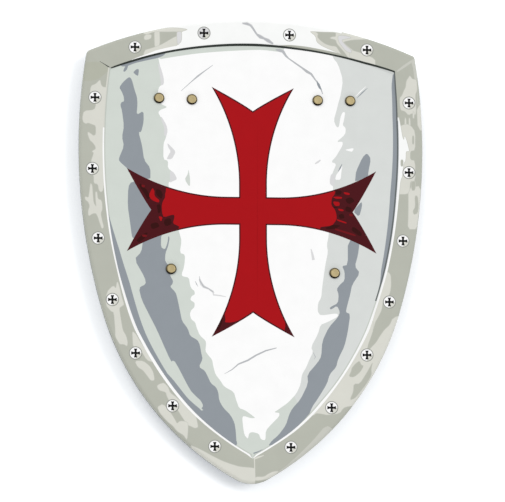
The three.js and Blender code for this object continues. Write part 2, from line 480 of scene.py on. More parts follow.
class HeaterOutline:
    """The board's outline, drawn with arcs, and how far a place lies inside it."""

    def __init__(self, height, width):
        lower_x = width / 2 - SIDE_RADIUS + (SIDE_RADIUS - LOWER_RADIUS) * math.cos(SIDE_SWEEP)
        reach = math.sqrt((LOWER_RADIUS - TIP_RADIUS) ** 2 - lower_x**2)
        self.lower = np.array([lower_x, -height / 2 + TIP_RADIUS + reach])
        drop = (SIDE_RADIUS - LOWER_RADIUS) * math.sin(SIDE_SWEEP)
        self.side = np.array([width / 2 - SIDE_RADIUS, self.lower[1] + drop])
        self.top = np.array([0, height / 2 - TOP_RADIUS])
        self.tip, self.corner = self.small_centres(0, CORNER_RADIUS, TIP_RADIUS)

    def small_centres(self, inset, corner_radius, tip_radius):
        """Centres of the tip's and the corner's arcs on an outline moved inwards."""
        reach = math.sqrt((LOWER_RADIUS - inset - tip_radius) ** 2 - self.lower[0] ** 2)
        tip = np.array([0, self.lower[1] - reach])
        top_reach, side_reach = (r - inset - corner_radius for r in (TOP_RADIUS, SIDE_RADIUS))
        return tip, meet(self.top, top_reach, self.side, side_reach)

    def ring(self, inset, spacing):
        """The closed outline moved inwards, anticlockwise from the tip."""
        corner_radius = max(CORNER_RADIUS - inset, FIELD_CORNER_RADIUS)
        tip_radius = max(TIP_RADIUS - inset, FIELD_TIP_RADIUS)
        tip, corner = self.small_centres(inset, corner_radius, tip_radius)
        fine = spacing / 2
        right = [
            arc(tip, tip_radius, -math.pi / 2, bearing(tip, self.lower), fine),
            arc(self.lower, LOWER_RADIUS - inset, bearing(tip, self.lower), -SIDE_SWEEP, spacing)[1:],
            arc(self.side, SIDE_RADIUS - inset, -SIDE_SWEEP, bearing(corner, self.side), spacing)[1:],
            arc(corner, corner_radius, bearing(corner, self.side), bearing(corner, self.top), fine)[1:],
            arc(self.top, TOP_RADIUS - inset, bearing(corner, self.top), math.pi / 2, spacing)[1:],
        ]
        right = np.concatenate(right)
        return np.concatenate([right, right[-2:0:-1] * (-1, 1)])

    def inset(self, places):
        """How far places lie inside the outline."""
        places = np.abs(places) * (1, 0) + places * (0, 1)

        def away(centre):
            return np.hypot(*(places - centre).T)

        def turn(centre):
            return np.arctan2(*(places - centre).T[::-1])

        on_side = turn(self.side) > -SIDE_SWEEP
        flank = np.where(on_side, SIDE_RADIUS - away(self.side), LOWER_RADIUS - away(self.lower))
        depth = np.minimum(TOP_RADIUS - away(self.top), flank)
        at_tip = turn(self.lower) < bearing(self.tip, self.lower)
        depth = np.where(at_tip, TIP_RADIUS - away(self.tip), depth)
        past_side = turn(self.side) > bearing(self.corner, self.side)
        at_corner = past_side & (turn(self.top) < bearing(self.corner, self.top))
        return np.where(at_corner, CORNER_RADIUS - away(self.corner), depth)

    def flank_x(self, y, inset):
        """How far the right flank lies from the middle at a height, moved inwards."""
        y = np.asarray(y, float)
        side_x = self.side[0] + np.sqrt((SIDE_RADIUS - inset) ** 2 - (y - self.side[1]) ** 2)
        lower_x = self.lower[0] + np.sqrt((LOWER_RADIUS - inset) ** 2 - (y - self.lower[1]) ** 2)
        turning = self.lower[1] - (LOWER_RADIUS - inset) * math.sin(SIDE_SWEEP)
        return np.where(y > turning, side_x, lower_x)

    def top_y(self, x, inset):
        """Height of the top arc, moved inwards."""
        return self.top[1] + np.sqrt((TOP_RADIUS - inset) ** 2 - np.asarray(x, float) ** 2)


# Relief of the face

RIM_CROWN = 0.25  # the rim's face is a little fuller along its middle
BEVEL_SOFTNESS = 0.6  # how far the bevel's ends are rounded past the solid's sharp ones
WAVE_HEIGHT = 0.12
LONG_WAVE = (31, 43, 0.7)  # its lengths across and along, for one radian each, and where it starts
SHORT_WAVE = (19, 27, 2)
SHORT_WAVE_SHARE = 0.6
WAVE_FADE = 20  # how far from the bevel the waves have their full height
DIMPLE_FLAT = 4
DIMPLE_REACH = 10
SLOPE_STEP = 0.05  # how far off the places lie whose heights give a slope
EDGE_SLOPE_STEP = 0.01


class Relief:
    """Height and slope of the printed face."""

    def __init__(self, settings):
        self.outline = HeaterOutline(settings.height / MM, settings.width / MM)
        self.edge = settings.edge_radius / MM
        self.rim_width = settings.rim_width / MM
        self.rim_step = settings.rim_step / MM
        self.dimple = settings.dimple / MM
        self.bevel = (self.rim_width - BEVEL_SOFTNESS, self.rim_width + BEVEL_WIDTH + BEVEL_SOFTNESS)

    def height(self, places):
        """Height of the face over the ground at places in the plane."""
        depth = self.outline.inset(places)
        x, y = places.T
        sunk = smooth_step((depth - self.bevel[0]) / (self.bevel[1] - self.bevel[0]))
        middle = (self.edge + self.rim_width) / 2
        fall = np.minimum(((depth - middle) / (self.rim_width - middle)) ** 2, 1)
        rounding = np.clip(self.edge - depth, 0, self.edge)
        edge = self.edge - np.sqrt(self.edge**2 - rounding**2)
        across, along, start = LONG_WAVE
        wave = np.sin(x / across + start) * np.cos(y / along)
        across, along, start = SHORT_WAVE
        wave += SHORT_WAVE_SHARE * np.sin(x / across - y / along + start)
        height = RIM_Z - RIM_CROWN * fall * (1 - sunk) - edge - self.rim_step * sunk
        height += WAVE_HEIGHT * wave * sunk * smooth_step((depth - self.bevel[1]) / WAVE_FADE)
        for centre in RIVETS.values():
            away = np.hypot(*(places - centre).T)
            height -= self.dimple * smooth_step(1 - (away - DIMPLE_FLAT) / (DIMPLE_REACH - DIMPLE_FLAT))
        return height

    def slope(self, measure, places, step):
        """How fast a measure of places grows across and along."""
        rises = [measure(places + offset) - measure(places - offset) for offset in np.eye(2) * step]
        return np.stack(rises, -1) / (2 * step)

    def outward(self, places):
        """Unit directions in the plane that point out of the board."""
        slope = -self.slope(self.outline.inset, places, EDGE_SLOPE_STEP)
        return slope / np.maximum(np.hypot(*slope.T), 1e-9)[:, None]

    def normals(self, places):
        """Unit normals of the face."""
        normal = np.column_stack([-self.slope(self.height, places, SLOPE_STEP), np.ones(len(places))])
        normal /= np.linalg.norm(normal, axis=1)[:, None]
        depth = self.outline.inset(places)
        lean = np.clip((self.edge - depth) / self.edge, 0, 1)[:, None]
        rounded = np.concatenate([self.outward(places) * lean, np.sqrt(1 - lean**2)], 1)
        return np.where(depth[:, None] < self.edge, rounded, normal)


# The print. Outlines below are in the photograph's pixels, read off it. FIELD_LEVEL and RIM_LEVEL are
# the heights at which they lie.

FIELD_LEVEL = 28.4
RIM_LEVEL = 30

WHITE_MIDDLE = [
    (156.5, 45), (158, 56), (160, 66), (162.5, 74), (162.5, 84), (158.4, 87.7), (158, 98), (161, 104),
    (167.8, 107.1), (160.4, 109.8), (158.1, 112.5), (161.1, 117.8), (165.8, 123.8), (167.8, 130.5),
    (165.8, 137.9), (163.4, 143.9), (163.4, 159.3), (168.1, 160.7), (167.8, 168.1), (173.8, 172.7),
    (177.1, 179.4), (171.8, 181.4), (168.4, 182.1), (169, 190), (172, 210), (179.8, 234.1), (181.6, 240.4),
    (179.8, 252.9), (185.2, 254.6), (184.3, 266.3), (181.6, 274.3), (182.6, 276.3), (188.9, 277.5),
    (190.1, 285.5), (191.8, 288.9), (194.7, 291.2), (194.7, 294.7), (191.8, 295.8), (190.1, 299.8),
    (194.7, 302.7), (194.4, 307.3), (191.2, 310.2), (189.8, 314.2), (191.2, 319.3), (195.2, 322.2),
    (196.7, 327.9), (199.8, 335.4), (205.6, 340.6), (206.1, 344), (205.3, 351), (207.8, 354.6),
    (212.2, 359.7), (213.2, 366), (215.4, 374.3), (220.5, 380.7), (224, 386.5), (233.9, 391.9),
    (236.1, 399.8), (239, 408.1), (244.7, 410), (251.1, 414.5), (255.6, 418), (251.1, 418.3),
    (243.5, 415.8), (242.2, 418.3), (243.2, 427.9), (244.4, 434.9), (247.9, 439.1), (249.2, 433),
    (252.4, 432), (258.8, 433.6), (260.7, 438.8), (262.6, 440), (265.5, 440), (265.8, 430.5),
    (271.5, 424.1), (279.2, 416.4), (279.5, 412.9), (274.1, 412.3), (278.5, 409.4), (288.2, 402.6),
    (296.5, 393.5), (300.6, 384.4), (301.9, 374.5), (306.4, 367), (309.7, 358.7), (313.1, 352.1),
    (311, 347.1), (318, 333.9), (320.5, 324.8), (327.1, 322.3), (338.3, 316.5), (337.1, 313.2),
    (320.5, 315.7), (317.6, 311.5), (318, 303.2), (321.3, 297.4), (322, 289), (323.6, 276.7),
    (325.5, 264), (328, 252), (326.8, 245), (328.7, 236), (331, 205), (333.7, 186.8), (329.9, 184.3),
    (331.1, 176.6), (333.7, 170.3), (336.3, 163.9), (331.1, 162), (336.3, 156.2), (338.8, 151.8),
    (342.6, 145.4), (342.6, 141.6), (336.3, 142.2), (345.2, 134.5), (345.8, 128.2), (342.6, 125),
    (343.9, 120.5), (345.2, 112.2), (342.6, 112.2), (340.4, 117.3), (338.8, 127.5), (336.3, 126.9),
    (333.7, 120.5), (336.9, 109), (338.8, 101.4), (340.7, 95), (343, 80), (338, 64), (333, 58), (331, 50),
    (330, 40), (156, 40),
]
LIGHT_HOOK = [
    (167.1, 142.6), (174.5, 150), (175.5, 152.6), (171.8, 159.3), (166.4, 159.3), (168.4, 155.3),
    (170.8, 151.3), (168.1, 147.3),
]
LIGHT_FRINGE = [
    [(158, 62), (161, 68), (163.8, 78), (163.9, 84), (161, 86), (160.5, 78), (158.5, 68)],
    [(161.2, 116), (166.5, 125), (167.6, 131), (166, 137), (164, 135), (164.5, 128), (161, 119)],
    [(170, 170), (174, 172.6), (177.4, 179.3), (172, 181.6), (170, 183)],
    [(331, 174), (335, 174), (334.5, 186), (330, 184.5), (329.7, 180)],
]
GREY_MARK = [(188.5, 168.7), (187.9, 174), (184.5, 179.4), (189.9, 187.5), (190.2, 178.8)]
WHITE_ISLAND = [
    (335, 179.8), (336.3, 174.7), (338.5, 172), (342.6, 165.2), (341.4, 171.5), (340.7, 179.8),
]
GREY_UNDER_LINE = [
    (150, 50), (158.4, 59.5), (172.7, 57), (195.7, 53.6), (219.6, 51.5), (249.3, 50), (263, 49.9),
    (276, 51.5), (282, 52.3), (286, 46), (250, 42), (200, 44),
]
WHITE_DASH = [(344.5, 149.8), (354.1, 147.9), (352.2, 151.8), (349, 151.1)]

SLATE_LEFT = {
    "strip under the line": [
        (120, 64), (121.5, 66.5), (126.8, 66.3), (135, 63), (147, 60.3), (157, 58.2), (163, 56), (166, 53),
        (150, 50),
    ],
    "top stroke": [(126.2, 64.5), (128.4, 65), (127, 69.5), (124.6, 72), (123, 71)],
    "top triangle": [(136.6, 69), (139, 69.2), (138.2, 76), (136, 75), (133, 72.4)],
    "upper band": [
        (128.6, 77.2), (130.5, 77.6), (132.1, 80.4), (134.4, 89.3), (137, 97), (137.5, 104), (136.6, 115),
        (143.5, 110.8), (143.7, 121.6), (141.3, 132), (138.5, 132), (142, 145), (144.1, 160), (150.4, 168),
        (150.4, 181), (128, 172), (128, 169), (119, 161), (119, 158), (124, 146), (122, 137), (124, 126),
        (121.9, 110.3), (120.3, 104.9), (121.4, 102.2), (124.1, 101.3), (123.7, 96.4), (121.4, 91),
        (119.2, 87.5), (123, 82),
    ],
    "between the tips": [
        (131.5, 181.5), (128.2, 186.8), (127.7, 205.9), (129.9, 221.2), (131.9, 236.5), (133.4, 238.5),
        (154, 237), (158, 210), (151, 180),
    ],
    "foot by the line": [
        (160, 368), (166, 372), (173, 379.5), (180, 388.5), (187.5, 398), (194, 404), (199.5, 408.5),
        (201.8, 411), (206, 408), (214, 414), (225, 424), (236.5, 440), (237.3, 445), (230, 449),
        (205, 440), (180, 415), (160, 390),
    ],
    "lower band": [
        (169, 236), (169.6, 238.5), (168.2, 246), (165.5, 253), (165, 260), (166.4, 262.7), (170.9, 268.5),
        (170, 275.2), (173.2, 281), (172.3, 284.3), (170, 286.5), (175.7, 292.4), (177.5, 298.7),
        (180.3, 312.5), (182, 321), (187.8, 328.5), (190.1, 336), (197.5, 340), (199.8, 344.6),
        (201.4, 353.9), (202.7, 359), (198.8, 367), (204.6, 370.5), (207.1, 375), (210.9, 383.3),
        (216, 387.1), (218.3, 392.2), (219.2, 400.5), (223.1, 407.5), (230.7, 415.2), (234.5, 422.8),
        (235.8, 431.1), (236.5, 442.6), (213, 415), (201.1, 409.1), (203.3, 405.6), (200.7, 400.5),
        (195, 395.4), (190, 390), (175.5, 362), (172.5, 360.5), (171.5, 362), (167.5, 354), (157, 330),
        (149.3, 315), (141.6, 299.6), (138.8, 287.7), (145.9, 284.1), (145, 277.9), (134.3, 259.1),
        (141.4, 252), (143, 240), (146, 234),
    ],
}
LIGHT_SLIVER = [(161.3, 234), (168.6, 234), (167.6, 242.6), (165.1, 249.5), (160.9, 247.2)]

SLATE_RIGHT = {
    "upper piece": [
        (366.9, 153), (371, 158.8), (368.1, 173.4), (368.5, 176), (355, 182), (355.4, 177.9), (356, 171.5),
        (362.4, 157.5),
    ],
    "bit in the notch": [(361.6, 201.2), (362.2, 206), (359.2, 217), (353, 211.5)],
    "lower band": [
        (347.8, 241), (347.8, 265), (342, 266), (344.6, 271.6), (344.6, 280.5), (339.6, 285),
        (336.7, 289.1), (338.7, 294.9), (337.9, 303.2), (329.6, 307.4), (330.5, 309.9), (337.1, 305.7),
        (340, 312.3), (337.9, 317.3), (328.8, 327.3), (322.2, 341.3), (321.3, 356.3), (318, 362.1),
        (307.3, 374.5), (308.1, 383.6), (300.6, 399.3), (292.3, 408.5), (289, 414.9), (286, 425),
        (278.6, 435), (271.9, 440.7), (268, 446), (276, 444), (290, 434), (309, 415), (312.2, 406.8),
        (318, 398.5), (327.1, 383.6), (329.6, 374.5), (336.3, 367), (337.9, 359.6), (344.5, 346.3),
        (347.9, 331.4), (350.3, 314), (345.8, 312.3), (347, 306.5), (350.3, 294.1), (352, 285),
        (360, 273), (354.8, 266.5), (358, 255), (359.3, 245), (360, 238),
    ],
}

# Scratches: points along each, with its width there in millimetres
SCRATCHES = [
    [
        (275.6, 49.6, 1), (279.5, 50.4, 2.8), (283, 51.5, 2.8), (286, 56, 2), (288.8, 58.6, 1.3),
        (302, 67.8, 1.6),
    ],
    [(302, 67.8, 1.6), (307, 71.6, 2.6), (311.2, 74, 2), (315.8, 80.4, 1.2), (317.3, 82, 1.8)],
    [(320.8, 88.5, 1.4), (322.7, 94, 0.7)],
    [(213, 65, 0.4), (204, 71.5, 1), (198, 76, 1.6), (191, 82, 0.8), (181, 91, 0.4)],
    [(199.3, 276, 0.3), (200, 281, 1), (203.5, 286.5, 1.1), (208.7, 288.8, 0.7), (213.4, 292.1, 1)],
    [(195.2, 281, 0.3), (196.5, 284, 0.9), (198.1, 286.6, 0.3)],
    [(276.6, 347.9, 0.8), (265.8, 350.7, 1.4), (256.2, 355.2, 1.5), (247.9, 360.3, 1.6), (238.4, 364.1, 1.4)],
    [(238.4, 364.1, 1.2), (232, 369.6, 0.9), (224.3, 374, 0.3)],
    [(313, 352, 0.3), (315.5, 357, 0.9), (314, 359.5, 0.3)],
]
LIGHT_SCRATCHES = [
    [(199.5, 279, 1.4), (201.5, 284, 2.8), (204, 286.8, 2.6), (208.7, 288.8, 1.5), (213.4, 292.1, 2)],
    [(213.4, 292.1, 2), (213.4, 294.8, 1.4), (220, 295.6, 1.2), (226.1, 296.8, 0.6)],
    [(311, 249, 0.8), (312.3, 254, 2.1), (313.5, 260, 2.6)],
    [(315.1, 163.8, 1.2), (318, 162, 1.8), (320.5, 160, 1.2)],
]
SLATE_SCRATCHES = [
    [(253.4, 453.4, 1.1), (257.5, 452, 1), (262.5, 449.6, 0.4)],
    [(317, 81.6, 0.8), (318.4, 84.5, 2.4), (320, 88, 2), (321.2, 89.5, 0.8)],
    [(367.5, 88, 0.3), (362, 93, 1.1), (357, 98, 0.3)],
    [(342, 163.9, 0.3), (340.2, 168, 1.3), (338.2, 171.5, 0.3)],
]
WHITE_SCRATCHES = [[(366, 86.5, 0.3), (360.5, 91.5, 0.9), (355.5, 96.5, 0.3)]]
RIM_CRACK = {
    "light": [
        [(242, 23.2, 1.6), (247, 23.6, 3.2), (251, 25.5, 2.6), (254, 30, 1.8), (256.5, 34, 2)],
        [(256.5, 34.3, 2), (260.5, 36.8, 3.8), (264, 38.4, 2.4), (268, 40.5, 4), (273.3, 43.8, 1.6)],
    ],
    "scratch": [
        [
            (243, 23.4, 0.8), (247, 23.8, 2.2), (250, 25, 1.4), (252, 27, 1.6), (254, 30, 1.8),
            (256.5, 34, 1.4),
        ],
        [(256.5, 34, 1.4), (260.5, 37, 2.8), (264, 38.4, 1.6), (268, 40.6, 2.8), (273, 43.6, 1.2)],
    ],
}

# Wear on the ends of the cross: dark maroon, with specks of red left in it
CROSS_WEAR = {
    "left": [
        (110, 150), (168, 183), (165.9, 188.7), (165.9, 191.4), (165.1, 193.7), (165.1, 197.5),
        (162.8, 201.3), (161.7, 205.9), (162.1, 212.8), (163.6, 217.4), (173.6, 214.3), (174.7, 216.6),
        (172.8, 223.5), (178.1, 225.8), (179.7, 227.3), (172, 236), (110, 262),
    ],
    "right": [
        (390, 150), (333, 184), (335, 189.5), (335, 193.7), (331.8, 198), (331.2, 205.1), (335, 209.7),
        (336.6, 215.1), (336.6, 219.7), (332, 225.8), (323.6, 226.6), (319.7, 227.3), (322, 236),
        (390, 265),
    ],
    "lower left": [
        (205, 340), (213, 322), (223.2, 302), (224.1, 311), (225.1, 315.6), (225.5, 320.3),
        (224.8, 322.3), (231.5, 322.6), (242.9, 319.3), (245, 322), (225, 340),
    ],
    "lower right": [
        (280.5, 310.5), (283, 315.6), (285, 322.3), (285.4, 327), (284.4, 329.7), (290, 345), (305, 345),
    ],
}
CROSS_SPECKS = [
    [
        (152.5, 187.5), (148.7, 195.2), (151.4, 199.8), (158.3, 202.8), (159.8, 200.5), (154.4, 196),
        (154.4, 190.6),
    ],
    [(158.3, 216), (162.8, 217), (161, 222)],
    [(332.7, 197), (337, 196.5), (342, 197), (342, 198.6), (336, 198.8)],
    [(332.7, 201.3), (339.6, 202), (339.6, 205.9), (335, 206)],
    [(338, 208.5), (343.5, 209.5), (343.5, 211.3), (339, 210.8)],
    [(336.6, 219), (346.5, 222.3), (346.5, 223.8), (337, 220.6)],
    [(343.5, 192), (349.6, 193), (349.6, 195.2), (344.5, 194.2)],
]
CROSS_DEEP_SPECKS = [
    [(140, 183), (143.5, 186.5), (147.5, 190.5), (150, 197), (148, 200), (144, 193), (139, 186)],
    [(156, 189), (161, 190), (163, 195), (161.5, 199), (158.5, 197), (156, 194)],
    [(156.5, 205), (160.5, 204), (161, 212), (158, 213.5), (157.5, 209)],
    [(165, 219), (170.5, 218), (172, 224), (166, 226.5), (163.5, 223)],
    [(150, 224), (157, 222), (160, 226.5), (152, 229.5)],
    [(136, 240), (143, 234), (148, 232), (146, 237), (139, 243)],
    [(335.5, 189.5), (342, 191), (341, 194.5), (336, 195)],
    [(345, 199), (351, 197), (355, 201), (350, 204), (347, 203)],
    [(346, 206), (352, 208), (351, 212.5), (345, 211)],
    [(333, 206.5), (338, 206.8), (337, 208), (334, 208)],
    [(338, 215), (343, 213.5), (345, 218), (340, 219)],
    [(325, 228), (333, 224.5), (341, 225.5), (336, 228.5), (328, 229.5)],
    [(353, 226), (362, 233), (361, 237), (351, 230.5)],
    [(216, 330), (220, 318), (223, 314), (222.5, 322), (219, 330)],
]
CROSS_DULL_SPECKS = [
    [(141.5, 184.5), (145, 185), (144.6, 187.6), (141.8, 187)],
    [(142, 234.4), (147, 234.8), (146.6, 237), (142.6, 236.8)],
    [(335, 228.3), (345.5, 231.3), (355.7, 234.7), (355.5, 236.4), (344.5, 233), (335, 230)],
    [(349, 213.5), (353, 214.4), (352.6, 216.6), (349.4, 216)],
]

# Worn patches of the rim, with pale strips on its rounded right and lower right edge that are partly painted
# highlight
SOFT_EDGE = 0.45  # how wide the ink between a patch and the ground shows round it, in millimetres
RIM_PALE = {
    "top blob": [(144.3, 39.4), (144.5, 36), (147, 34.5), (151.3, 34.8), (151, 38), (147.5, 39.6)],
    "top strip": [(154.4, 30), (159.3, 28), (159.7, 46), (155, 49)],
    "top outer edge": [
        (147, 34.4), (153, 31.6), (160, 31.4), (168, 31.5), (176, 31.3), (180, 32), (188, 30.2), (188, 20),
        (165, 22), (150, 26), (143, 33),
    ],
    "top low zone": [
        (144, 50.5), (152, 48.3), (160, 45.4), (165, 42.8), (170, 39.8), (174, 37.6), (178, 36), (178, 60),
        (144, 64),
    ],
    "top right, left of the dark": [
        (306, 29), (318, 33), (317, 37), (320, 40.5), (325, 44.2), (331, 46.2), (336, 46.6), (338.5, 50.5),
        (341, 54.5), (347, 59), (337.3, 53), (321.3, 47), (313, 41),
    ],
    "top right, right of the dark": [
        (336, 34), (336.5, 28), (350, 25), (372, 38), (362, 39.2), (352, 39.6), (342.6, 41.8), (347, 46),
        (353, 50.7), (360, 54), (357, 62), (350, 60), (345.4, 53), (341, 48), (337, 43.5), (336, 39.6),
        (330, 38.2), (332, 37), (336, 36.8),
    ],
    "above the line": [(350, 50), (362, 53.5), (375, 59), (375, 66), (350, 58)],
    "left, upper": [
        (100, 79.8), (96, 84), (91, 86), (90, 95), (96.5, 104), (94.5, 110), (84, 111),
        (82.5, 118), (83.5, 122), (86, 123.5), (88, 122.5), (92, 124), (96, 125.5), (96, 134.5),
        (93.5, 136), (91, 134), (88, 132), (88, 134.5), (90, 140), (93, 142.5), (95.5, 146), (96, 149),
        (92, 151.5), (94, 152.5), (93, 156), (91.5, 160), (91, 168), (94, 176), (94, 183), (98, 184),
        (99, 190), (101, 192), (103, 190), (104, 180), (125, 180), (125, 88), (104, 87.5), (101.8, 86.2),
        (100.7, 84),
    ],
    "left streak": [
        (90.5, 183.5), (92, 185), (92.8, 196), (93.5, 203), (96.5, 207.5), (95.8, 199.5), (95.6, 192),
        (96.9, 192), (97.6, 199), (101.6, 200.5), (102.3, 209), (100.5, 213.5), (102, 221),
        (103.6, 227), (102, 228.5), (100, 223), (98, 216.5), (96, 213), (92.5, 213.3), (88.6, 216),
        (88.4, 210.5), (90, 206), (88.3, 201.5), (85.5, 199.5), (85.2, 196.5), (88.6, 198), (89.6, 192),
    ],
    "left, lower": [
        (113.3, 285.5), (116, 289), (117.3, 281), (119.5, 288), (121.5, 297), (124, 304.5), (121.7, 306),
        (119, 308), (120.5, 318), (122.5, 330), (126, 336), (127.5, 342), (127, 346), (124, 344),
        (120, 344), (119, 342.5), (115.5, 336.5), (115.5, 330), (114, 312), (111, 311), (106, 305),
        (107, 292),
    ],
    "left, by the line": [
        (132.5, 331.5), (135.5, 334), (139, 340), (143, 346), (149, 355), (153, 362), (147, 360),
        (141, 350), (136, 347), (133.2, 346), (132.8, 338),
    ],
    "below the left stud": [
        (135, 361), (143, 361), (149.5, 366), (153, 372), (154.5, 380), (151, 380.5), (147, 375),
        (143, 370), (138, 367),
    ],
    "by the low left stud": [
        (157, 386), (160, 384), (164, 383), (168, 387), (170, 393), (177, 398), (188, 408), (196, 416),
        (197, 422), (198, 427), (195, 428), (191, 426), (188, 425), (183, 418), (178, 410), (169, 400),
        (167, 396), (166, 392), (159, 390),
    ],
    "low left strip": [
        (157.5, 407), (160, 413), (167, 421), (173.5, 426), (177, 431), (184, 435), (187, 440),
        (188, 428), (187.5, 422), (180, 421), (177, 424), (175, 420), (170, 412), (163, 404),
    ],
    "bottom left": [
        (190, 445), (197, 448), (205, 452), (212, 456), (222, 461), (230, 464), (240, 467), (253, 468),
        (255, 469), (255, 500), (200, 480),
    ],
    "right tooth": [
        (409.5, 76.5), (406.5, 81), (406, 87), (404, 91), (402, 96), (400, 98), (400, 104), (401, 110),
        (405, 111), (408.5, 115), (412, 113), (415.5, 115), (416, 108), (415, 95), (417, 90),
        (416.5, 80), (414, 79.5), (412, 79), (410, 76),
    ],
    # pale strips on the rounded right edge, partly painted highlight where the edge faces the key light
    "right edge, upper": [(417, 60), (430, 60), (430, 80), (417, 80)],
    "right edge, lower": [(417, 105), (430, 105), (430, 130), (418, 130)],
    "right streak": [(405, 118), (406, 119), (406.4, 131), (404.6, 131)],
    "second right streak": [(409, 118), (410, 119), (410.6, 131), (409, 131)],
    "third right streak": [(413, 112), (414, 112), (414, 118), (413, 118)],
    "right, broad": [
        (396, 128), (406, 124), (411, 126), (415, 132), (415, 150), (410, 151), (410, 160), (415, 161),
        (415, 181), (410, 181), (409.5, 191), (407, 194), (396, 194),
    ],
    "right, below the stud": [
        (408.6, 188), (421, 186), (420, 205), (418.5, 215), (417, 229), (408, 229), (408.6, 214),
    ],
    "right, by the line": [
        (388, 272), (390.5, 275), (391, 284), (390, 292), (388.5, 296), (383, 300), (381.5, 310),
        (378, 317), (375, 322), (373, 330), (360, 330), (370, 295), (378, 272),
    ],
    "right, lower": [
        (405, 314), (393, 318), (390, 325), (384.5, 330), (381, 335), (376, 343), (372, 347), (367, 353),
        (367, 349), (368, 344), (371, 336), (373, 330), (373, 320), (355, 320), (320, 380), (298, 405),
        (313.5, 415.5), (316, 413), (321, 413.5), (328, 415), (340, 413), (343, 408), (348, 406),
        (365, 405), (405, 350),
    ],
    # pale strip on the rounded edge right of the tip, partly painted highlight
    "bottom right": [
        (255.5, 477), (264, 477), (268.5, 474), (272.5, 472), (279, 471), (276, 474.5), (270, 478),
        (262, 480), (255.5, 480.5),
    ],
}
RIM_BARE = {
    "top": [
        (162, 10), (162, 27.4), (170, 27.2), (179, 27.6), (187, 28.9), (187.4, 29.9), (182, 31.7),
        (181.5, 34), (181.3, 41), (177, 45.6), (173, 48), (173, 60), (345, 60), (339.1, 53.4),
        (327.9, 48.9), (321.3, 45.8), (316.3, 41.8), (315.6, 36.4), (309.5, 31.4), (313, 31.2),
        (322, 31.8), (336, 32), (343, 34), (343, 10),
    ],
    "right": [
        (398.6, 117), (399.6, 121), (401.2, 129.6), (402.4, 137), (404, 140.5), (404.6, 135.5),
        (406.6, 140.4), (408, 146), (409.3, 151.5), (405.9, 151), (405.7, 160), (404, 163), (403, 168),
        (402.4, 176), (400.6, 180), (399.5, 190), (398, 203), (392, 203), (392, 117),
    ],
}
RIM_LIGHT = {
    "beside the bare top": [(177, 31.7), (181.6, 31.7), (181.4, 41), (177.6, 45), (177, 38)],
    "top right streak": [
        (338, 35.5), (345, 35.8), (352, 37.6), (345, 38.8), (341, 40), (346, 46), (351.5, 50.5), (351, 53),
        (346, 51), (341.5, 45.5), (338.5, 41),
    ],
}
RIM_OLIVE = {
    "below the left mitre": [
        (110, 69), (105, 65), (99, 61.5), (84, 62), (80, 80), (90, 81), (99, 79), (106, 73),
    ],
}
RIM_BLEND = {
    "in the upper right corner": [(411, 60), (416, 58), (418, 80), (414.5, 80), (413.5, 70)],
    "along the low right edge": [
        # paler band along the rounded lower right edge, partly painted highlight
        (268, 478), (285, 467), (299, 454.5), (313, 440.5), (326, 425), (335, 430), (310, 460), (285, 482),
    ],
}
RIM_MITRES = {
    "dark": [[(112, 69.2, 1.2), (108, 66.4, 0.9), (105, 64.5, 0.6), (100, 61.4, 0.3)]],
    "blend": [[(397, 71.5, 1.4), (404, 66.5, 2.4), (412, 61, 2.2)]],
    "pale": [
        [(254.4, 456.5, 1), (254.7, 468, 0.9), (255, 481, 0.8)],
        [(255, 458.5, 1.6), (259, 457, 1.6), (264, 455.4, 0.5)],
    ],
}
RIM_BEIGE = {
    "in the right edge, upper": [(417.3, 80), (419, 80), (420, 104), (417.8, 104)],
    "in the right edge": [
        (373, 362), (371, 368), (371.5, 375), (366, 384), (360, 392), (355, 398), (350, 400),
        (353.5, 392), (354, 384), (360, 384), (367.5, 372),
    ],
    "below the right stud": [
        (359.5, 361), (361, 365), (363.5, 366), (360, 372), (354, 377), (349, 376.5), (351.5, 371),
        (352, 368), (355.5, 364),
    ],
    "right streak": [(412.5, 136), (413.8, 136), (413.8, 144), (412.5, 144)],
    "second right streak": [(401, 160), (403, 160), (403, 166), (401, 166)],
    "right, beside the stud": [(411, 182), (415.5, 181), (415, 190), (412, 190.5)],
    "right, below the stud": [
        (415, 196), (417.5, 196), (418.5, 206), (417.5, 213), (414, 214.5), (413, 211), (415.5, 207),
    ],
}

# Where the printed line between rim and field runs, as how far inside the outline its edges lie, in
# millimetres: along the flanks by height, and along the top by the place across. These too were read
# as pixels, and were worked out to millimetres beforehand, with this same camera
LEFT_PALE_LINE = {"at": (168, 112), "outer": (21.6, 21.5), "inner": (22.8, 22.9)}
LEFT_WHITE_LINE = {
    "at": (112, 50, 15, -20, -46, -74, -87, -103, -121, -150, -174, -196),
    "outer": (21.5, 21.3, 21.3, 21.7, 21.5, 21.6, 22.6, 23.2, 23.5, 23.6, 24.4, 24.6),
    "inner": (22.9, 22.9, 22.9, 23.1, 23.9, 24.3, 25.3, 26.0, 26.2, 25.8, 26.0, 25.9),
}
RIGHT_WHITE_LINE = {
    "at": (122, 80, 50, 14, -16, -36, -57, -73, -98, -124, -140, -153, -167, -180, -196),
    "outer": (22.2, 21.2, 20.9, 20.8, 20.9, 21.7, 22.3, 21.9, 22.9, 23.1, 22.8, 22.4, 22.4, 23.6, 24.2),
    "inner": (22.5, 22.8, 23.1, 22.8, 22.9, 23.4, 24.1, 24.2, 24.8, 24.9, 25.1, 24.4, 24.4, 25.1, 25.5),
}
RIGHT_DARK_LINE = {
    "at": (169, 154, 142, 121, 96, 55, 14, -16, -31, -46),
    "outer": (20.8, 21.7, 22.1, 22.9, 23.0, 23.4, 23.1, 23.2, 23.6, 24.1),
    "inner": (22.2, 23.0, 23.7, 24.8, 24.6, 25.1, 24.4, 24.4, 25.2, 24.3),
}
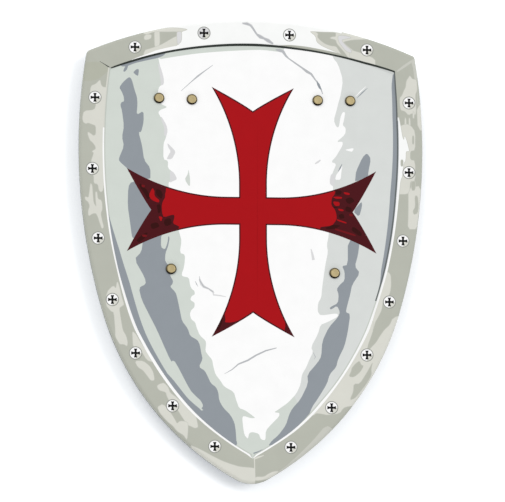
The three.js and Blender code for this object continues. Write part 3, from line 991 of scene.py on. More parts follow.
TOP_DARK_LINE = {
    "at": (-131, -129, -108, -81, -42, 3, 40, 77, 105, 126, 134),
    "outer": (22.4, 22.2, 22.0, 21.9, 22.3, 22.4, 23.1, 22.8, 22.0, 20.6, 20.2),
    "inner": (23.4, 23.6, 23.9, 23.7, 24.3, 24.7, 24.9, 24.3, 23.8, 22.3, 21.7),
}
TOP_WHITE_LINE = {
    "at": (-112, -104, -97, -90, -76, -68),
    "outer": (21.8, 21.0, 20.6, 19.4, 19.0, 19.0),
    "inner": (22.3, 22.3, 22.2, 22.2, 22.2, 22.2),
}
TOP_BEIGE_LINE = {
    "at": (24, 35, 50, 68, 80, 88),
    "outer": (23.0, 21.3, 20.8, 20.9, 20.8, 21.4),
    "inner": (23.4, 23.4, 23.4, 23.2, 22.9, 22.6),
}
LEFT_SLATE_EDGE = {
    "at": (33, 22, 11, 0, -11, -23, -33, -52, -78, -100, -121, -135, -146),
    "outer": (22.0,) * 13,
    "inner": (22.9, 24.6, 26.2, 27.7, 28.7, 29.8, 30.4, 30.3, 29.5, 29.6, 29.0, 29.2, 30.5),
}
RIGHT_SLATE_EDGE = {
    "at": (166, 156, 127, 95, 54, 18, -17, -30),
    "outer": (22.0,) * 8,
    "inner": (23.0, 25.6, 27.4, 28.0, 29.0, 27.9, 26.8, 25.0),
}

# Where the field's paler grey lies: right of the cross, and of the bottom slate band
RIGHT_HALF = [(5, 250), (5, -60), (45, -148), (22, -177), (12, -195), (200, -250), (200, 250)]

PRINT_MARGIN = 5  # how far the ground's ink reaches past the outline
SHADE_WIDTH = 1.1  # of the grey lines inside the white ones
LINE_WIDTH = 1.2  # of the darker edge of the slate line on the right

# Printed studs on the rim: their middles in the photograph, all round from the top left
STUDS = [
    (135, 47), (204, 33), (289.5, 35), (367, 50), (409, 103), (409, 172.6), (403, 241), (389.4, 302),
    (367, 355), (331.7, 407.7), (291, 447.3), (214.8, 446.4), (172.6, 405.8), (135.6, 353),
    (112.4, 299.5), (98.2, 238), (92.4, 168.4), (95, 97.3),
]
STUD_RADIUS = 6.1
STUD_RING = 0.8
STUD_CROSS = [(0.95, 0.95), (0.9, 2), (1.5, 3.7), (1.25, 4.2), (0, 4)]
GREYER_STUD = 1  # the second one, whose disc is greyer than the bare rim round it

CROSS_MIDDLE = (0.85, 36.4)
CROSS_HALF_WIDTH = 12.8
CROSS_STRAIGHT = 25
CROSS_FLARE_RADIUS = 175
CROSS_FLARE_RUN = 60  # over which an arm's side leaves the circle, to end at the tip
CROSS_TIP = (38.2, 115)
CROSS_NOTCH = 92.9
CROSS_END_BEND = (12, 101.3)  # towards which the edge from a tip to the notch bends
CROSS_STRETCH = (0, 1.6, 1.5, 0)  # by how much the upper, left, lower and right arms are longer
CROSS_BORDER = (-1.15, 0.15)
CROSS_SIDE_POINTS = 24
CROSS_END_POINTS = 7


def turned(points, turns):
    """Points turned about the middle by quarter turns."""
    cos, sin = ((1, 0), (0, 1), (-1, 0), (0, -1))[turns]
    return np.stack([points[:, 0] * cos - points[:, 1] * sin, points[:, 0] * sin + points[:, 1] * cos], -1)


def four_arms(half, stretch=(0, 0, 0, 0)):
    """A cross from the right-hand side of its upper arm, given from the crotch out to the notch."""
    half = np.asarray(half, float)
    arm = np.concatenate([half, half[-2:0:-1] * (-1, 1)])
    share = (arm[:, 1:] - half[0, 1]) / (half[:, 1].max() - half[0, 1]) * (0, 1)
    return np.concatenate([turned(arm + share * more, turns) for turns, more in enumerate(stretch)])


def flared_cross():
    """The large cross: arms that flare along a circle to two tips each, with a notch between."""
    along = np.linspace(CROSS_STRAIGHT, CROSS_TIP[1], CROSS_SIDE_POINTS)
    run = along - CROSS_STRAIGHT
    out = CROSS_HALF_WIDTH + CROSS_FLARE_RADIUS - np.sqrt(CROSS_FLARE_RADIUS**2 - run**2)
    ease = smooth_step(run / CROSS_FLARE_RUN)
    out *= CROSS_TIP[0] / out[-1] * ease + 1 - ease
    share = np.linspace(0, 1, CROSS_END_POINTS)[1:, None]
    tip, bend, notch = (np.array(place) for place in (CROSS_TIP, CROSS_END_BEND, (0, CROSS_NOTCH)))
    end = (1 - share) ** 2 * tip + 2 * share * (1 - share) * bend + share**2 * notch
    half = np.concatenate([[(CROSS_HALF_WIDTH, CROSS_HALF_WIDTH)], np.stack([out, along], -1), end])
    return four_arms(half, CROSS_STRETCH) + CROSS_MIDDLE


class Print:
    """The painter's list of the print: ink, closed outline in millimetres, and where it may lie."""

    def __init__(self, outline):
        self.board = outline
        self.layers = []
        self.masks = {"rim": None, "field": self.field_edge(), "cross": flared_cross()}

    def add(self, ink, outline, within):
        """Lays one outline over what is there."""
        self.layers.append((ink, np.asarray(outline, float), within))

    def patch(self, ink, pixels, within):
        """Lays a patch read in the photograph, with its corners softened."""
        level = RIM_LEVEL if within == "rim" else FIELD_LEVEL
        self.add(ink, soften(placed(pixels, level)), within)

    def soft_patch(self, ink, pixels):
        """Lays a patch of the rim over a slightly larger one in the ink between it and the ground."""
        outline = soften(placed(pixels, RIM_LEVEL))
        x, y = outline.T
        if (x * np.roll(y, -1) - y * np.roll(x, -1)).sum() < 0:
            outline = outline[::-1]
        self.add("blend", grow(outline, SOFT_EDGE), "rim")
        self.add(ink, outline, "rim")

    def scratch(self, ink, stations, within):
        """Lays a line read in the photograph, with the width given at each of its points."""
        stations = np.array(stations, float)
        spine = placed(stations[:, :2], RIM_LEVEL if within == "rim" else FIELD_LEVEL)
        self.add(ink, stroke(spine, stations[:, 2]), within)

    def along_flank(self, side, stations, edge, step=4):
        """Points along a flank, downwards, at the inset that the stations give."""
        at = np.array(stations["at"], float)
        y = np.linspace(at[0], at[-1], max(2, round(abs(at[0] - at[-1]) / step)))
        inset = np.interp(-y, -at, stations[edge])
        return np.stack([side * np.maximum(self.board.flank_x(y, inset), 0), y], -1)

    def along_top(self, stations, edge, step=4):
        """Points along the top, from left to right, at the inset that the stations give."""
        at = np.array(stations["at"], float)
        x = np.linspace(at[0], at[-1], max(2, round(abs(at[0] - at[-1]) / step)))
        return np.stack([x, self.board.top_y(x, np.interp(x, at, stations[edge]))], -1)

    def flank_band(self, side, stations):
        """The band between two edges along a flank."""
        outer, inner = (self.along_flank(side, stations, edge) for edge in ("outer", "inner"))
        return np.concatenate([outer, inner[::-1]])

    def top_band(self, stations):
        """The band between two edges along the top."""
        outer, inner = (self.along_top(stations, edge) for edge in ("outer", "inner"))
        return np.concatenate([outer, inner[::-1]])

    def field_edge(self):
        """The line within which the field's print lies, along the middle of the printed lines."""

        def middle(stations):
            inset = (np.array(stations["outer"]) + stations["inner"]) / 2
            return {"at": stations["at"], "middle": inset}

        upper_left = self.along_flank(-1, middle(LEFT_PALE_LINE), "middle")
        left = self.along_flank(-1, middle(LEFT_WHITE_LINE), "middle")[1:]
        top = self.along_top(middle(TOP_DARK_LINE), "middle")
        upper_right = self.along_flank(1, middle(RIGHT_DARK_LINE), "middle")
        upper_right = upper_right[upper_right[:, 1] > RIGHT_WHITE_LINE["at"][0]]
        right = self.along_flank(1, middle(RIGHT_WHITE_LINE), "middle")
        return np.concatenate([left[::-1], upper_left[::-1], top, upper_right, right])

    def inks(self, places):
        """The ink at each place: that of the last layer which reaches it."""
        allowed = {name: inside(places, edge) for name, edge in self.masks.items() if edge is not None}
        allowed["rim"] = ~allowed["field"]
        allowed["all"] = np.ones(len(places), bool)
        inks = np.full(len(places), self.layers[0][0], dtype=object)
        for ink, outline, within in self.layers:
            inks[inside(places, outline) & allowed[within]] = ink
        return inks


def draw_print(outline):
    """The whole print, from the ground up."""
    sheet = Print(outline)
    everywhere = outline.ring(-PRINT_MARGIN, 10)
    sheet.add("beige", everywhere, "rim")
    sheet.add("grey_left", everywhere, "field")
    sheet.add("grey_right", RIGHT_HALF, "field")
    draw_rim(sheet)
    draw_field(sheet)
    draw_cross(sheet)
    draw_edge_lines(sheet)
    draw_studs(sheet)
    return sheet


def draw_rim(sheet):
    """Worn patches of the rim, each with a soft edge, the mitres of its corners and a crack."""
    for ink, patches in (("olive", RIM_OLIVE), ("blend", RIM_BLEND)):
        for pixels in patches.values():
            sheet.patch(ink, pixels, "rim")
    worn = (("pale", RIM_PALE), ("bare", RIM_BARE), ("light", RIM_LIGHT), ("beige", RIM_BEIGE))
    for ink, patches in worn:
        for pixels in patches.values():
            sheet.soft_patch(ink, pixels)
    for ink, lines in (*RIM_CRACK.items(), *RIM_MITRES.items()):
        for stations in lines:
            sheet.scratch(ink, stations, "rim")


def draw_field(sheet):
    """The field: a white middle with worn edges between slate bands, and scratches."""
    for side, line in ((-1, LEFT_PALE_LINE), (-1, LEFT_WHITE_LINE), (1, RIGHT_WHITE_LINE)):
        sheet.add("shade", sheet.flank_band(side, strip(line, "inner", SHADE_WIDTH)), "field")
    sheet.patch("white", WHITE_MIDDLE, "field")
    for ink, patches in (
        ("light", [LIGHT_HOOK]),
        ("grey_left", [GREY_MARK, GREY_UNDER_LINE]),
        ("white", [WHITE_ISLAND, WHITE_DASH]),
        ("light", LIGHT_FRINGE),
        ("slate", [*SLATE_LEFT.values(), *SLATE_RIGHT.values()]),
        ("grey_left", [LIGHT_SLIVER]),
    ):
        for pixels in patches:
            sheet.patch(ink, pixels, "field")
    for ink, lines in (
        ("light", LIGHT_SCRATCHES),
        ("scratch", SCRATCHES),
        ("slate", SLATE_SCRATCHES),
        ("white", WHITE_SCRATCHES),
    ):
        for stations in lines:
            sheet.scratch(ink, stations, "field")


def draw_cross(sheet):
    """The red cross with its dark outline and worn ends."""
    cross = sheet.masks["cross"]
    within, beyond = CROSS_BORDER
    sheet.add("maroon", grow(cross, beyond), "field")
    sheet.add("red", grow(cross, within), "field")
    for ink, patches in (
        ("maroon", CROSS_WEAR.values()),
        ("deep", CROSS_DEEP_SPECKS),
        ("red", CROSS_SPECKS),
        ("crimson", CROSS_DULL_SPECKS),
    ):
        for pixels in patches:
            sheet.patch(ink, pixels, "cross")


def strip(stations, edge, width):
    """Stations of a strip that runs inwards from one edge of a line."""
    start = stations[edge]
    return {"at": stations["at"], "outer": start, "inner": tuple(inset + width for inset in start)}


def draw_edge_lines(sheet):
    """The lines and bands between rim and field."""
    for ink, side, stations, within in (
        ("pale", -1, LEFT_PALE_LINE, "all"),
        ("slate", -1, LEFT_SLATE_EDGE, "field"),
        ("slate", 1, RIGHT_SLATE_EDGE, "field"),
        ("white", -1, LEFT_WHITE_LINE, "all"),
        ("white", 1, RIGHT_WHITE_LINE, "all"),
        ("slate", 1, RIGHT_DARK_LINE, "all"),
        ("line", 1, strip(RIGHT_DARK_LINE, "outer", LINE_WIDTH), "all"),
    ):
        sheet.add(ink, sheet.flank_band(side, stations), within)
    for ink, stations in (("white", TOP_WHITE_LINE), ("beige", TOP_BEIGE_LINE), ("dark", TOP_DARK_LINE)):
        sheet.add(ink, sheet.top_band(stations), "all")


def draw_studs(sheet):
    """Printed studs: a thin ring, a white disc, shaded at its lower right, and a small black cross."""
    for number, centre in enumerate(placed(STUDS, RIM_LEVEL)):
        inner = STUD_RADIUS - STUD_RING
        sheet.add("ring", disc(centre, STUD_RADIUS), "all")
        sheet.add("light" if number == GREYER_STUD else "white", disc(centre, inner), "all")
        quarter = arc(centre, inner, -math.pi / 2, 0, 1)
        sheet.add("pale", np.concatenate([[centre], quarter]), "all")
        sheet.add("stud", four_arms(STUD_CROSS) + centre, "all")


# Board

RING_SPACING = 2.5
GRID_SPACING = 5
LEAST_GAP = 1e-3
HOLE_STEPS = 20
DIMPLE_STEPS = 24
DIMPLE_RINGS = (4, 5, 6, 7.5, 9, 10)
EDGE_TURNS = (0, 20, 40, 55, 70, 82, 90)  # closer together where the rounded edge meets the face
CROWN_RINGS = 2
BEVEL_RINGS = 6
WALL_LEVELS = 4
BACK_ROUNDING_STEPS = 5


def triangulate(loops, loose):
    """Triangles over closed loops that may cross each other, and loose points."""
    points, edges = [], []
    for loop in loops:
        first = len(points)
        points.extend(Vector(p) for p in loop)
        edges.extend((first + i, first + (i + 1) % len(loop)) for i in range(len(loop)))
    points.extend(Vector(p) for p in loose)
    places, _, faces, *_ = delaunay_2d_cdt(points, edges, [], 0, LEAST_GAP, False)
    return np.array([tuple(p) for p in places]), np.array(faces)


def border_loops(faces):
    """Closed loops of the points along the open edges of triangles, which keep the triangles' turn."""
    turning = {(a, b): row for row, face in enumerate(faces) for a, b in zip(face, np.roll(face, -1))}
    follows = {a: (b, row) for (a, b), row in turning.items() if (b, a) not in turning}
    loops = []
    while follows:
        start = here = next(iter(follows))
        loop = []
        while True:
            after, row = follows.pop(here)
            loop.append((here, row))
            here = after
            if here == start:
                break
        loops.append(loop)
    return sorted(loops, key=len, reverse=True)


def face_rings(relief):
    """Rings that follow the rounded edge and the bevel, so that the face bends along them."""
    edge = relief.edge * (1 - np.sin(np.radians(EDGE_TURNS)))
    crown = np.linspace(relief.edge, relief.bevel[0], CROWN_RINGS + 2)[1:-1]
    bevel = np.linspace(*relief.bevel, BEVEL_RINGS)
    insets = np.concatenate([edge, crown, bevel])
    return [relief.outline.ring(inset, RING_SPACING) for inset in insets]


def loose_points(relief):
    """Points that keep the triangles of the face small, and finer ones round the rivets."""
    xs, ys = (np.arange(low, high, GRID_SPACING) for low, high in zip(BOARD_LOW[:2], BOARD_HIGH[:2]))
    grid = np.stack(np.meshgrid(xs, ys), -1).reshape(-1, 2)
    grid = grid[relief.outline.inset(grid) > relief.bevel[1] + 1]
    rounds = [disc(centre, radius, DIMPLE_STEPS) for centre in RIVETS.values() for radius in DIMPLE_RINGS]
    return np.concatenate([grid, *rounds])


def keep_triangles(places, faces, outer, holes):
    """Triangles within the outer loop and outside the holes."""
    middles = places[faces].mean(1)
    kept = inside(middles, outer)
    for hole in holes:
        kept &= ~inside(middles, hole)
    return faces[kept]


class Shell:
    """The board's mesh while it grows: points, normals, faces, and the ink or bare foam of each face."""

    def __init__(self, points, normals, faces, inks):
        self.points, self.normals = [*points], [*normals]
        self.faces, self.inks = faces.tolist(), [*inks]

    def places(self, ring):
        """The places in the plane of numbered points."""
        return np.array([self.points[i][:2] for i in ring])

    def add_ring(self, places, level, outward, lean):
        """A ring of points at one level, whose normals lean from outward to down, and their numbers."""
        first = len(self.points)
        for place, way in zip(places, outward):
            self.points.append(np.array([*place, level]))
            self.normals.append(np.array([*(way * math.cos(lean)), -math.sin(lean)]))
        return list(range(first, len(self.points)))

    def join(self, above, below, inks):
        """A strip of faces between two rings."""
        for i, ink in enumerate(inks):
            j = (i + 1) % len(inks)
            self.faces.append([above[j], above[i], below[i], below[j]])
            self.inks.append(ink)

    def close(self, rings):
        """A flat foam face inside the first ring and round the others, without slivers beyond them."""
        loops = [self.places(ring) for ring in rings]
        places, triangles = triangulate(loops, np.empty((0, 2)))
        border, numbers = np.concatenate(loops), np.concatenate(rings)
        nearest = np.array([np.hypot(*(border - place).T).argmin() for place in places])
        triangles = keep_triangles(border, nearest[triangles], loops[0], loops[1:])
        beyond = {(after, here) for ring in rings for here, after in zip(ring, ring[1:] + ring[:1])}
        for triangle in numbers[triangles].tolist():
            sides = set(zip(triangle, triangle[1:] + triangle[:1]))
            if len(set(triangle)) == 3 and not sides & beyond:
                self.faces.append(triangle[::-1])
                self.inks.append("foam")


def printed_face(relief):
    """The face, cut along the outlines of its inks, and the loops along its edge and its rivet holes."""
    sheet = draw_print(relief.outline)
    holes = [disc(centre, HOLE_RADIUS, HOLE_STEPS) for centre in RIVETS.values()]
    inked = [outline for _, outline, _ in sheet.layers]
    loops = [*face_rings(relief), *holes, *inked, sheet.masks["field"]]
    places, faces = triangulate(loops, loose_points(relief))
    faces = keep_triangles(places, faces, relief.outline.ring(0, RING_SPACING), holes)
    used, faces = np.unique(faces, return_inverse=True)
    places, faces = places[used], faces.reshape(-1, 3)
    points = np.column_stack([places, relief.height(places)])
    inks = sheet.inks(places[faces].mean(1))
    return Shell(points, relief.normals(places), faces, inks), border_loops(faces)


def build_board(settings):
    """The foam board as one closed mesh: printed face and wall, rounded back edge and flat back."""
    relief = Relief(settings)
    shell, (edge_loop, *hole_loops) = printed_face(relief)
    above = [i for i, _ in edge_loop]
    edge = shell.places(above)
    outward = relief.outward(edge)
    wall_inks = [shell.inks[row] for _, row in edge_loop]
    foam = ["foam"] * len(above)

    wall_top = float(relief.height(edge).min())
    wall_foot = BACK_Z + relief.edge
    # The wall's lowest strip and the back's rounding are bare dark foam below the printed skin; the strip is
    # set this high partly as painted shade, for the dark line along the lower left edge.
    for level in np.linspace(wall_top, wall_foot, WALL_LEVELS)[1:]:
        below = shell.add_ring(edge, level, outward, 0)
        shell.join(above, below, wall_inks if level > wall_foot else foam)
        above = below
    for turn in np.linspace(0, math.pi / 2, BACK_ROUNDING_STEPS)[1:]:
        inset, drop = relief.edge * (1 - math.cos(turn)), relief.edge * math.sin(turn)
        below = shell.add_ring(edge - outward * inset, wall_foot - drop, outward, turn)
        shell.join(above, below, foam)
        above = below

    back_rings = [above]
    for loop in hole_loops:
        ring = [i for i, _ in loop]
        hole = shell.places(ring)
        back_rings.append(shell.add_ring(hole, BACK_Z, np.zeros_like(hole), math.pi / 2))
        shell.join(ring, back_rings[-1], foam[: len(ring)])
    shell.close(back_rings)

    names = sorted(set(shell.inks) - {"foam"})
    materials = [printed_skin(name, getattr(settings, name)) for name in names]
    materials.append(bare_foam(settings.foam))
    slots = [[*names, "foam"].index(ink) for ink in shell.inks]
    return make_mesh("printed_foam_board", shell.points, shell.faces, materials, slots, shell.normals)


# Straps

STRAP_WIDTH = 44
STRAP_LOWER_WIDTH = 25
STRAP_TAPER = 44
STRAP_OVERHANG = 12
STRAP_END_FLAT = 9
STRAP_SLOPE_RUN = 22
STRAP_CORNER_RADIUS = 3
STRAP_GAP = 0.3
STRAP_HALF_SOLID = 1.25  # half the solid's thickness, which leaves room for the pleats
GROUND_GAP = 0.03
ROW_SPACING = 1.3
END_ROWS = np.array([0.02, 0.12, 0.35, 0.7, 1.15])  # how far the first rows lie from an end
EVEN_ROWS = (2, 1.7)  # how far from the lower and the upper end the evenly spaced rows lie
END_ROUNDING = 1.2
LEAST_END_SHARE = 0.02
POINTS_PER_RIB = 6
SELVEDGE_SHARE = 0.3  # how far the rounded side edges stand out, as a share of the thickness
SELVEDGE_TURNS = np.radians([45, 0, -45])
LEAST_HALF_WIDTH = 0.3
PLEATS = 3
PLEAT_DEPTH = 0.3
PLEAT_PINCH = 0.6  # how much thinner a pleated row is, as a share of the pleats' depth


def strap_half_width(y, span):
    """Half the band's width: full above, drawn together to a round end at the lower rivet."""
    full, least = STRAP_WIDTH / 2, STRAP_LOWER_WIDTH / 2
    share = np.clip(y / STRAP_TAPER, 0, 1)
    width = least + (full - least) * smooth_step(share)
    low = np.clip(-y / least, 0, 1)
    width = np.where(y < 0, least * np.sqrt(1 - low**2), width)
    into_corner = np.clip((y - (span + STRAP_OVERHANG - STRAP_CORNER_RADIUS)) / STRAP_CORNER_RADIUS, 0, 1)
    return width - STRAP_CORNER_RADIUS * (1 - np.sqrt(1 - into_corner**2))


def strap_middle(y, span, thickness):
    """Height of the band's middle: against the board at both ends and on the ground between."""
    ends = BACK_Z - STRAP_GAP - STRAP_HALF_SOLID
    run = thickness / 2 + GROUND_GAP
    share = np.clip((np.minimum(y, span - y) - STRAP_END_FLAT) / STRAP_SLOPE_RUN, 0, 1)
    ease = share**3 * (share * (share * 6 - 15) + 10)
    return ends + (run - ends) * ease


def strap_slope(y, span, thickness):
    """How steeply the band's middle rises."""
    nearby = 0.1
    rise = strap_middle(y + nearby, span, thickness) - strap_middle(y - nearby, span, thickness)
    return float(rise / (2 * nearby))


def strap_section(half, body, pleat, shares, selvedge):
    """One row of the band, all round: how far across, how far off its middle, and the pleat's lift."""
    upper = list(zip(shares * half, body, pleat))
    lower = [(across, -off, lift) for across, off, lift in upper]
    turned = [(selvedge * math.cos(t), math.sin(t)) for t in SELVEDGE_TURNS]
    right = [(half + out, body[-1] * rise, pleat[-1]) for out, rise in turned]
    left = [(-half - out, -body[0] * rise, pleat[0]) for out, rise in turned]
    return [*upper, *right, *lower[::-1], *left]


def build_strap(side, settings):
    """One band of ribbed elastic webbing, pleated where it is gathered under its lower rivet."""
    foot = RIVETS[f"rivet_{side}_lower"]
    ahead = (RIVETS[f"rivet_{side}_upper_left"] + RIVETS[f"rivet_{side}_upper_right"]) / 2 - foot
    span = float(np.hypot(*ahead))
    ahead = ahead / span
    across = np.array([ahead[1], -ahead[0]])
    thickness, rib_depth = settings.thickness / MM, settings.rib_depth / MM
    selvedge = thickness * SELVEDGE_SHARE
    ribs = round(STRAP_WIDTH / (settings.rib_pitch / MM))
    shares = np.linspace(-1, 1, ribs * POINTS_PER_RIB + 1)
    groove = rib_depth * (1 - np.abs(np.sin(shares * ribs * math.pi / 2)))
    waves = np.cos(shares * PLEATS * 2 * math.pi)

    low, high = -STRAP_LOWER_WIDTH / 2, span + STRAP_OVERHANG
    inner = np.arange(low + EVEN_ROWS[0], high - EVEN_ROWS[1], ROW_SPACING)
    rows = np.concatenate([low + END_ROWS, inner, high - END_ROWS[::-1]])
    points, faces = [], []
    for y in rows:
        half = max(float(strap_half_width(np.array(y), span)) - selvedge, LEAST_HALF_WIDTH)
        slope = strap_slope(y, span, thickness)
        slant = math.hypot(1, slope)
        end_share = 1 - (1 - min(y - low, high - y, END_ROUNDING) / END_ROUNDING) ** 2
        ending = min(1, math.sqrt(max(end_share, LEAST_END_SHARE)))
        gather = float(smooth_step(np.array(1 - y / STRAP_TAPER)))
        body = (thickness / 2 - groove - PLEAT_DEPTH * PLEAT_PINCH * gather) * ending
        middle = float(strap_middle(y, span, thickness))
        for x, off, lift in strap_section(half, body, PLEAT_DEPTH * gather * waves, shares, selvedge):
            rise = off + lift
            place = foot + across * x + ahead * (y - rise * slope / slant)
            points.append((*place, middle + rise / slant))
    around = len(points) // len(rows)
    for row in range(len(rows) - 1):
        for i in range(around):
            j = (i + 1) % around
            a, b = row * around, (row + 1) * around
            faces.append((a + i, a + j, b + j, b + i))
    last = (len(rows) - 1) * around
    faces.append(tuple(range(around)))
    faces.append(tuple(last + i for i in reversed(range(around))))
    strap = make_mesh(f"elastic_strap_{side}", points, faces, [elastic_webbing(settings.webbing)])
    keep_outside_out(strap)
    return strap


# Rivets

TURN_STEPS = 56


def lathe(profile, centre, steps):
    """Points and faces of a closed profile turned round an upright axis, on which it starts and ends.

    Each face comes with the number of its band along the profile and its direction.
    """
    points = [(*centre, profile[0][1])]
    for radius, level in profile[1:-1]:
        points.extend((*place, level) for place in disc(centre, radius, steps))
    points.append((*centre, profile[-1][1]))
    last = len(points) - 1
    rings = len(profile) - 2
    faces, bands = [], []
    for i in range(steps):
        j = (i + 1) % steps
        turn = (i + 0.5) * 2 * math.pi / steps
        faces.append((0, 1 + j, 1 + i))
        bands.append((0, turn))
        for ring in range(rings - 1):
            a, b = 1 + ring * steps, 1 + (ring + 1) * steps
            faces.append((a + i, a + j, b + j, b + i))
            bands.append((ring + 1, turn))
        a = 1 + (rings - 1) * steps
        faces.append((a + i, a + j, last))
        bands.append((rings, turn))
    return points, faces, bands


SHANK_RADIUS = 1.8
SHOULDER_DROP = 1.4
SHOULDER_STEPS = 7
HEAD_THICKNESS = 2
HEAD_CORNER = ((-0.25, -0.05), (0, 0.15))  # past the head's radius, and over its underside
FLAT_EDGE = 0.5
FLAT_SAG = (0.03, 0.07)  # how low the flat lies near its edge and in its middle
PAINTED_SHADE_REACH = 0.75  # how far up the shoulder the painted shade comes at the head's lowest side, as a share

# Half section of the clenched tail: radius, and height over its lowest level
TAIL = [
    (0, 0.9), (0.9, 0.85), (1.25, 0.55), (1.7, 0.12), (2.3, 0), (3.2, 0.08), (4.05, 0.45), (4.3, 0.8),
    (4.2, 1.2), (SHANK_RADIUS, 1.22),
]


def rivet_profile(low, high, settings):
    """Half section of a rivet, from its clenched tail up, as radius and height."""
    head, flat = settings.head_radius / MM, settings.flat_radius / MM
    underside = high - HEAD_THICKNESS
    turns = np.radians(np.linspace(0, 90, SHOULDER_STEPS))
    return [
        *((radius, low + rise) for radius, rise in TAIL),
        (SHANK_RADIUS, underside),
        *((head + past, underside + rise) for past, rise in HEAD_CORNER),
        *((flat + (head - flat) * math.cos(t), high - SHOULDER_DROP * (1 - math.sin(t))) for t in turns),
        (flat - FLAT_EDGE, high - FLAT_SAG[0]),
        (0, high - FLAT_SAG[1]),
    ]


def build_rivet(name, settings, materials):
    """One rivet: a flat head with a rounded shoulder, a shank and a tail clenched on the strap."""
    low, high = frame_box(name)
    profile = rivet_profile(low[2], high[2], settings)
    points, faces, bands = lathe(profile, RIVETS[name], TURN_STEPS)
    head, flat = settings.head_radius / MM, settings.flat_radius / MM
    flat_starts = len(profile) - 4  # with the shoulder's last band, which is nearly level
    shoulder_starts = flat_starts - SHOULDER_STEPS  # with the corner of the head's underside

    def film(band, turn):
        """Rubbed brass on the flat; black painted shade along the lower side of the shoulder; elsewhere brown
        tarnish, darkened as a painted reflection.
        """
        if band >= flat_starts:
            return 0
        radius = (profile[band][0] + profile[band + 1][0]) / 2
        shaded_side = band >= shoulder_starts and head - radius < -math.sin(turn) * PAINTED_SHADE_REACH * (head - flat)
        return 2 if shaded_side else 1

    slots = [film(*band) for band in bands]
    return make_mesh(f"brass_{name}", points, faces, materials, slots)


# Operators

# The stage. The suns' distance and the camera's reach are in metres
FLOOR_REACH = 4000
SUNS = {"key": (15, 60), "side": (125, 50)}  # where each one stands: azimuth and elevation in degrees
SUN_SPREAD = 25
SUN_DISTANCE = 2
CLIP_END = 20


class SHIELD_OT_stage(Operator):
    """Lay the floor, and set the lights, the camera and the colour view"""

    bl_idname = "shield.stage"
    bl_label = "Stage"

    def execute(self, context):
        settings = context.scene.shield_stage
        corners = [(x * FLOOR_REACH, y * FLOOR_REACH, 0) for x, y in ((-1, -1), (1, -1), (1, 1), (-1, 1))]
        table = light_table(settings.floor, settings.glow)
        floor = make_mesh("floor", corners, [(0, 1, 2, 3)], [table], smooth=False)
        self.add_lights(context, settings)
        self.add_camera(context)
        view = context.scene.view_settings
        view.view_transform = "Standard"
        view.look = "None"
        view.exposure = 0
        view.gamma = 1
        return {"FINISHED"}

    def add_lights(self, context, settings):
        world = bpy.data.worlds.new("white_room")
        world.use_nodes = True
        ground = world.node_tree.nodes["Background"]
        ground.inputs["Color"].default_value = (1, 1, 1, 1)
        ground.inputs["Strength"].default_value = settings.fill_strength
        context.scene.world = world
        for name in SUNS:
            self.add_sun(context, name, getattr(settings, f"{name}_strength"))

    def add_sun(self, context, name, energy):
        """A broad soft light from one direction."""
        sun = bpy.data.lights.new(name, "SUN")
        sun.energy = energy
        sun.angle = math.radians(SUN_SPREAD)
        lamp = bpy.data.objects.new(name, sun)
        azimuth, elevation = (math.radians(turn) for turn in SUNS[name])
        level = math.cos(elevation)
        towards = Vector((level * math.cos(azimuth), level * math.sin(azimuth), math.sin(elevation)))
        lamp.rotation_euler = towards.to_track_quat("Z", "Y").to_euler()
        lamp.location = towards * SUN_DISTANCE
        context.scene.collection.objects.link(lamp)

    def add_camera(self, context):
        camera = bpy.data.cameras.new("camera")
        camera.sensor_fit = "HORIZONTAL"
        camera.sensor_width = SENSOR_WIDTH
        camera.lens = FOCAL_PIXELS * SENSOR_WIDTH / PHOTO_SIZE[0]
        camera.clip_end = CLIP_END
        holder = bpy.data.objects.new("camera", camera)
        turn = Matrix((RIGHT, UP, BACK)).transposed()
        holder.matrix_world = Matrix.Translation(CAMERA_PLACE * MM) @ turn.to_4x4()
        context.scene.collection.objects.link(holder)
        context.scene.camera = holder


class SHIELD_OT_board(Operator):
    """Build the foam board with its printed skin"""

    bl_idname = "shield.board"
    bl_label = "Foam board"

    def execute(self, context):
        board = build_board(context.scene.shield_board)
        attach(board, "root")
        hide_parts("shield_board")
        return {"FINISHED"}


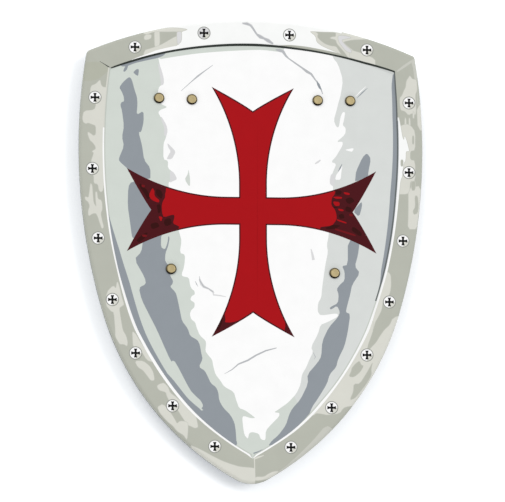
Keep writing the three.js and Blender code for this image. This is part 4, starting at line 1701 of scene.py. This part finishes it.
class SHIELD_OT_straps(Operator):
    """Build the two elastic arm straps"""

    bl_idname = "shield.straps"
    bl_label = "Arm straps"

    def execute(self, context):
        for side in SIDES:
            strap = build_strap(side, context.scene.shield_strap)
            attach(strap, "root")
            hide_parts(f"strap_{side}")
        return {"FINISHED"}


class SHIELD_OT_rivets(Operator):
    """Build the six brass rivets"""

    bl_idname = "shield.rivets"
    bl_label = "Rivets"

    def execute(self, context):
        settings = context.scene.shield_rivet
        metal, film, painted_shade = (tuple(tint) for tint in (settings.brass, settings.tarnish, settings.painted_shade))
        between = tuple((a * 2 + b) / 3 for a, b in zip(metal, film))
        materials = [
            brass("brass_rubbed", metal, between, 0.42, 0.55),
            # tarnish on the shoulder, darkened as a painted reflection
            brass("brass_tarnished", film, tuple(c * 0.6 for c in film), 0.5, 0.65),
            # painted shade, black, on the lower side of each shoulder
            brass("brass_blackened", painted_shade, tuple(c * 1.6 for c in painted_shade), 0.6, 0.75),
        ]
        for name in RIVETS:
            rivet = build_rivet(name, settings, materials)
            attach(rivet, "root")
            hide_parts(name)
        return {"FINISHED"}


class SHIELD_PT_build(Panel):
    """Steps that build the shield"""

    bl_idname = "SHIELD_PT_build"
    bl_label = "Toy knight shield"
    bl_space_type = "VIEW_3D"
    bl_region_type = "UI"
    bl_category = "Shield"

    def draw(self, context):
        for step in STEPS:
            self.layout.operator(step.bl_idname)


STEPS = (SHIELD_OT_stage, SHIELD_OT_board, SHIELD_OT_straps, SHIELD_OT_rivets)
GROUPS = {
    "shield_board": BoardSettings,
    "shield_strap": StrapSettings,
    "shield_rivet": RivetSettings,
    "shield_stage": StageSettings,
}


def register():
    """Registers the classes and hangs the settings on the scene."""
    for kind in (*GROUPS.values(), *STEPS, SHIELD_PT_build):
        bpy.utils.register_class(kind)
    for name, group in GROUPS.items():
        setattr(bpy.types.Scene, name, PointerProperty(type=group))


def unregister():
    """Takes the settings and the classes away again."""
    for name in GROUPS:
        delattr(bpy.types.Scene, name)
    for kind in reversed((*GROUPS.values(), *STEPS, SHIELD_PT_build)):
        bpy.utils.unregister_class(kind)


def main():
    """Builds everything."""
    register()
    bpy.ops.shield.stage()
    bpy.ops.shield.board()
    bpy.ops.shield.straps()
    bpy.ops.shield.rivets()


if __name__ == "__main__":
    main()
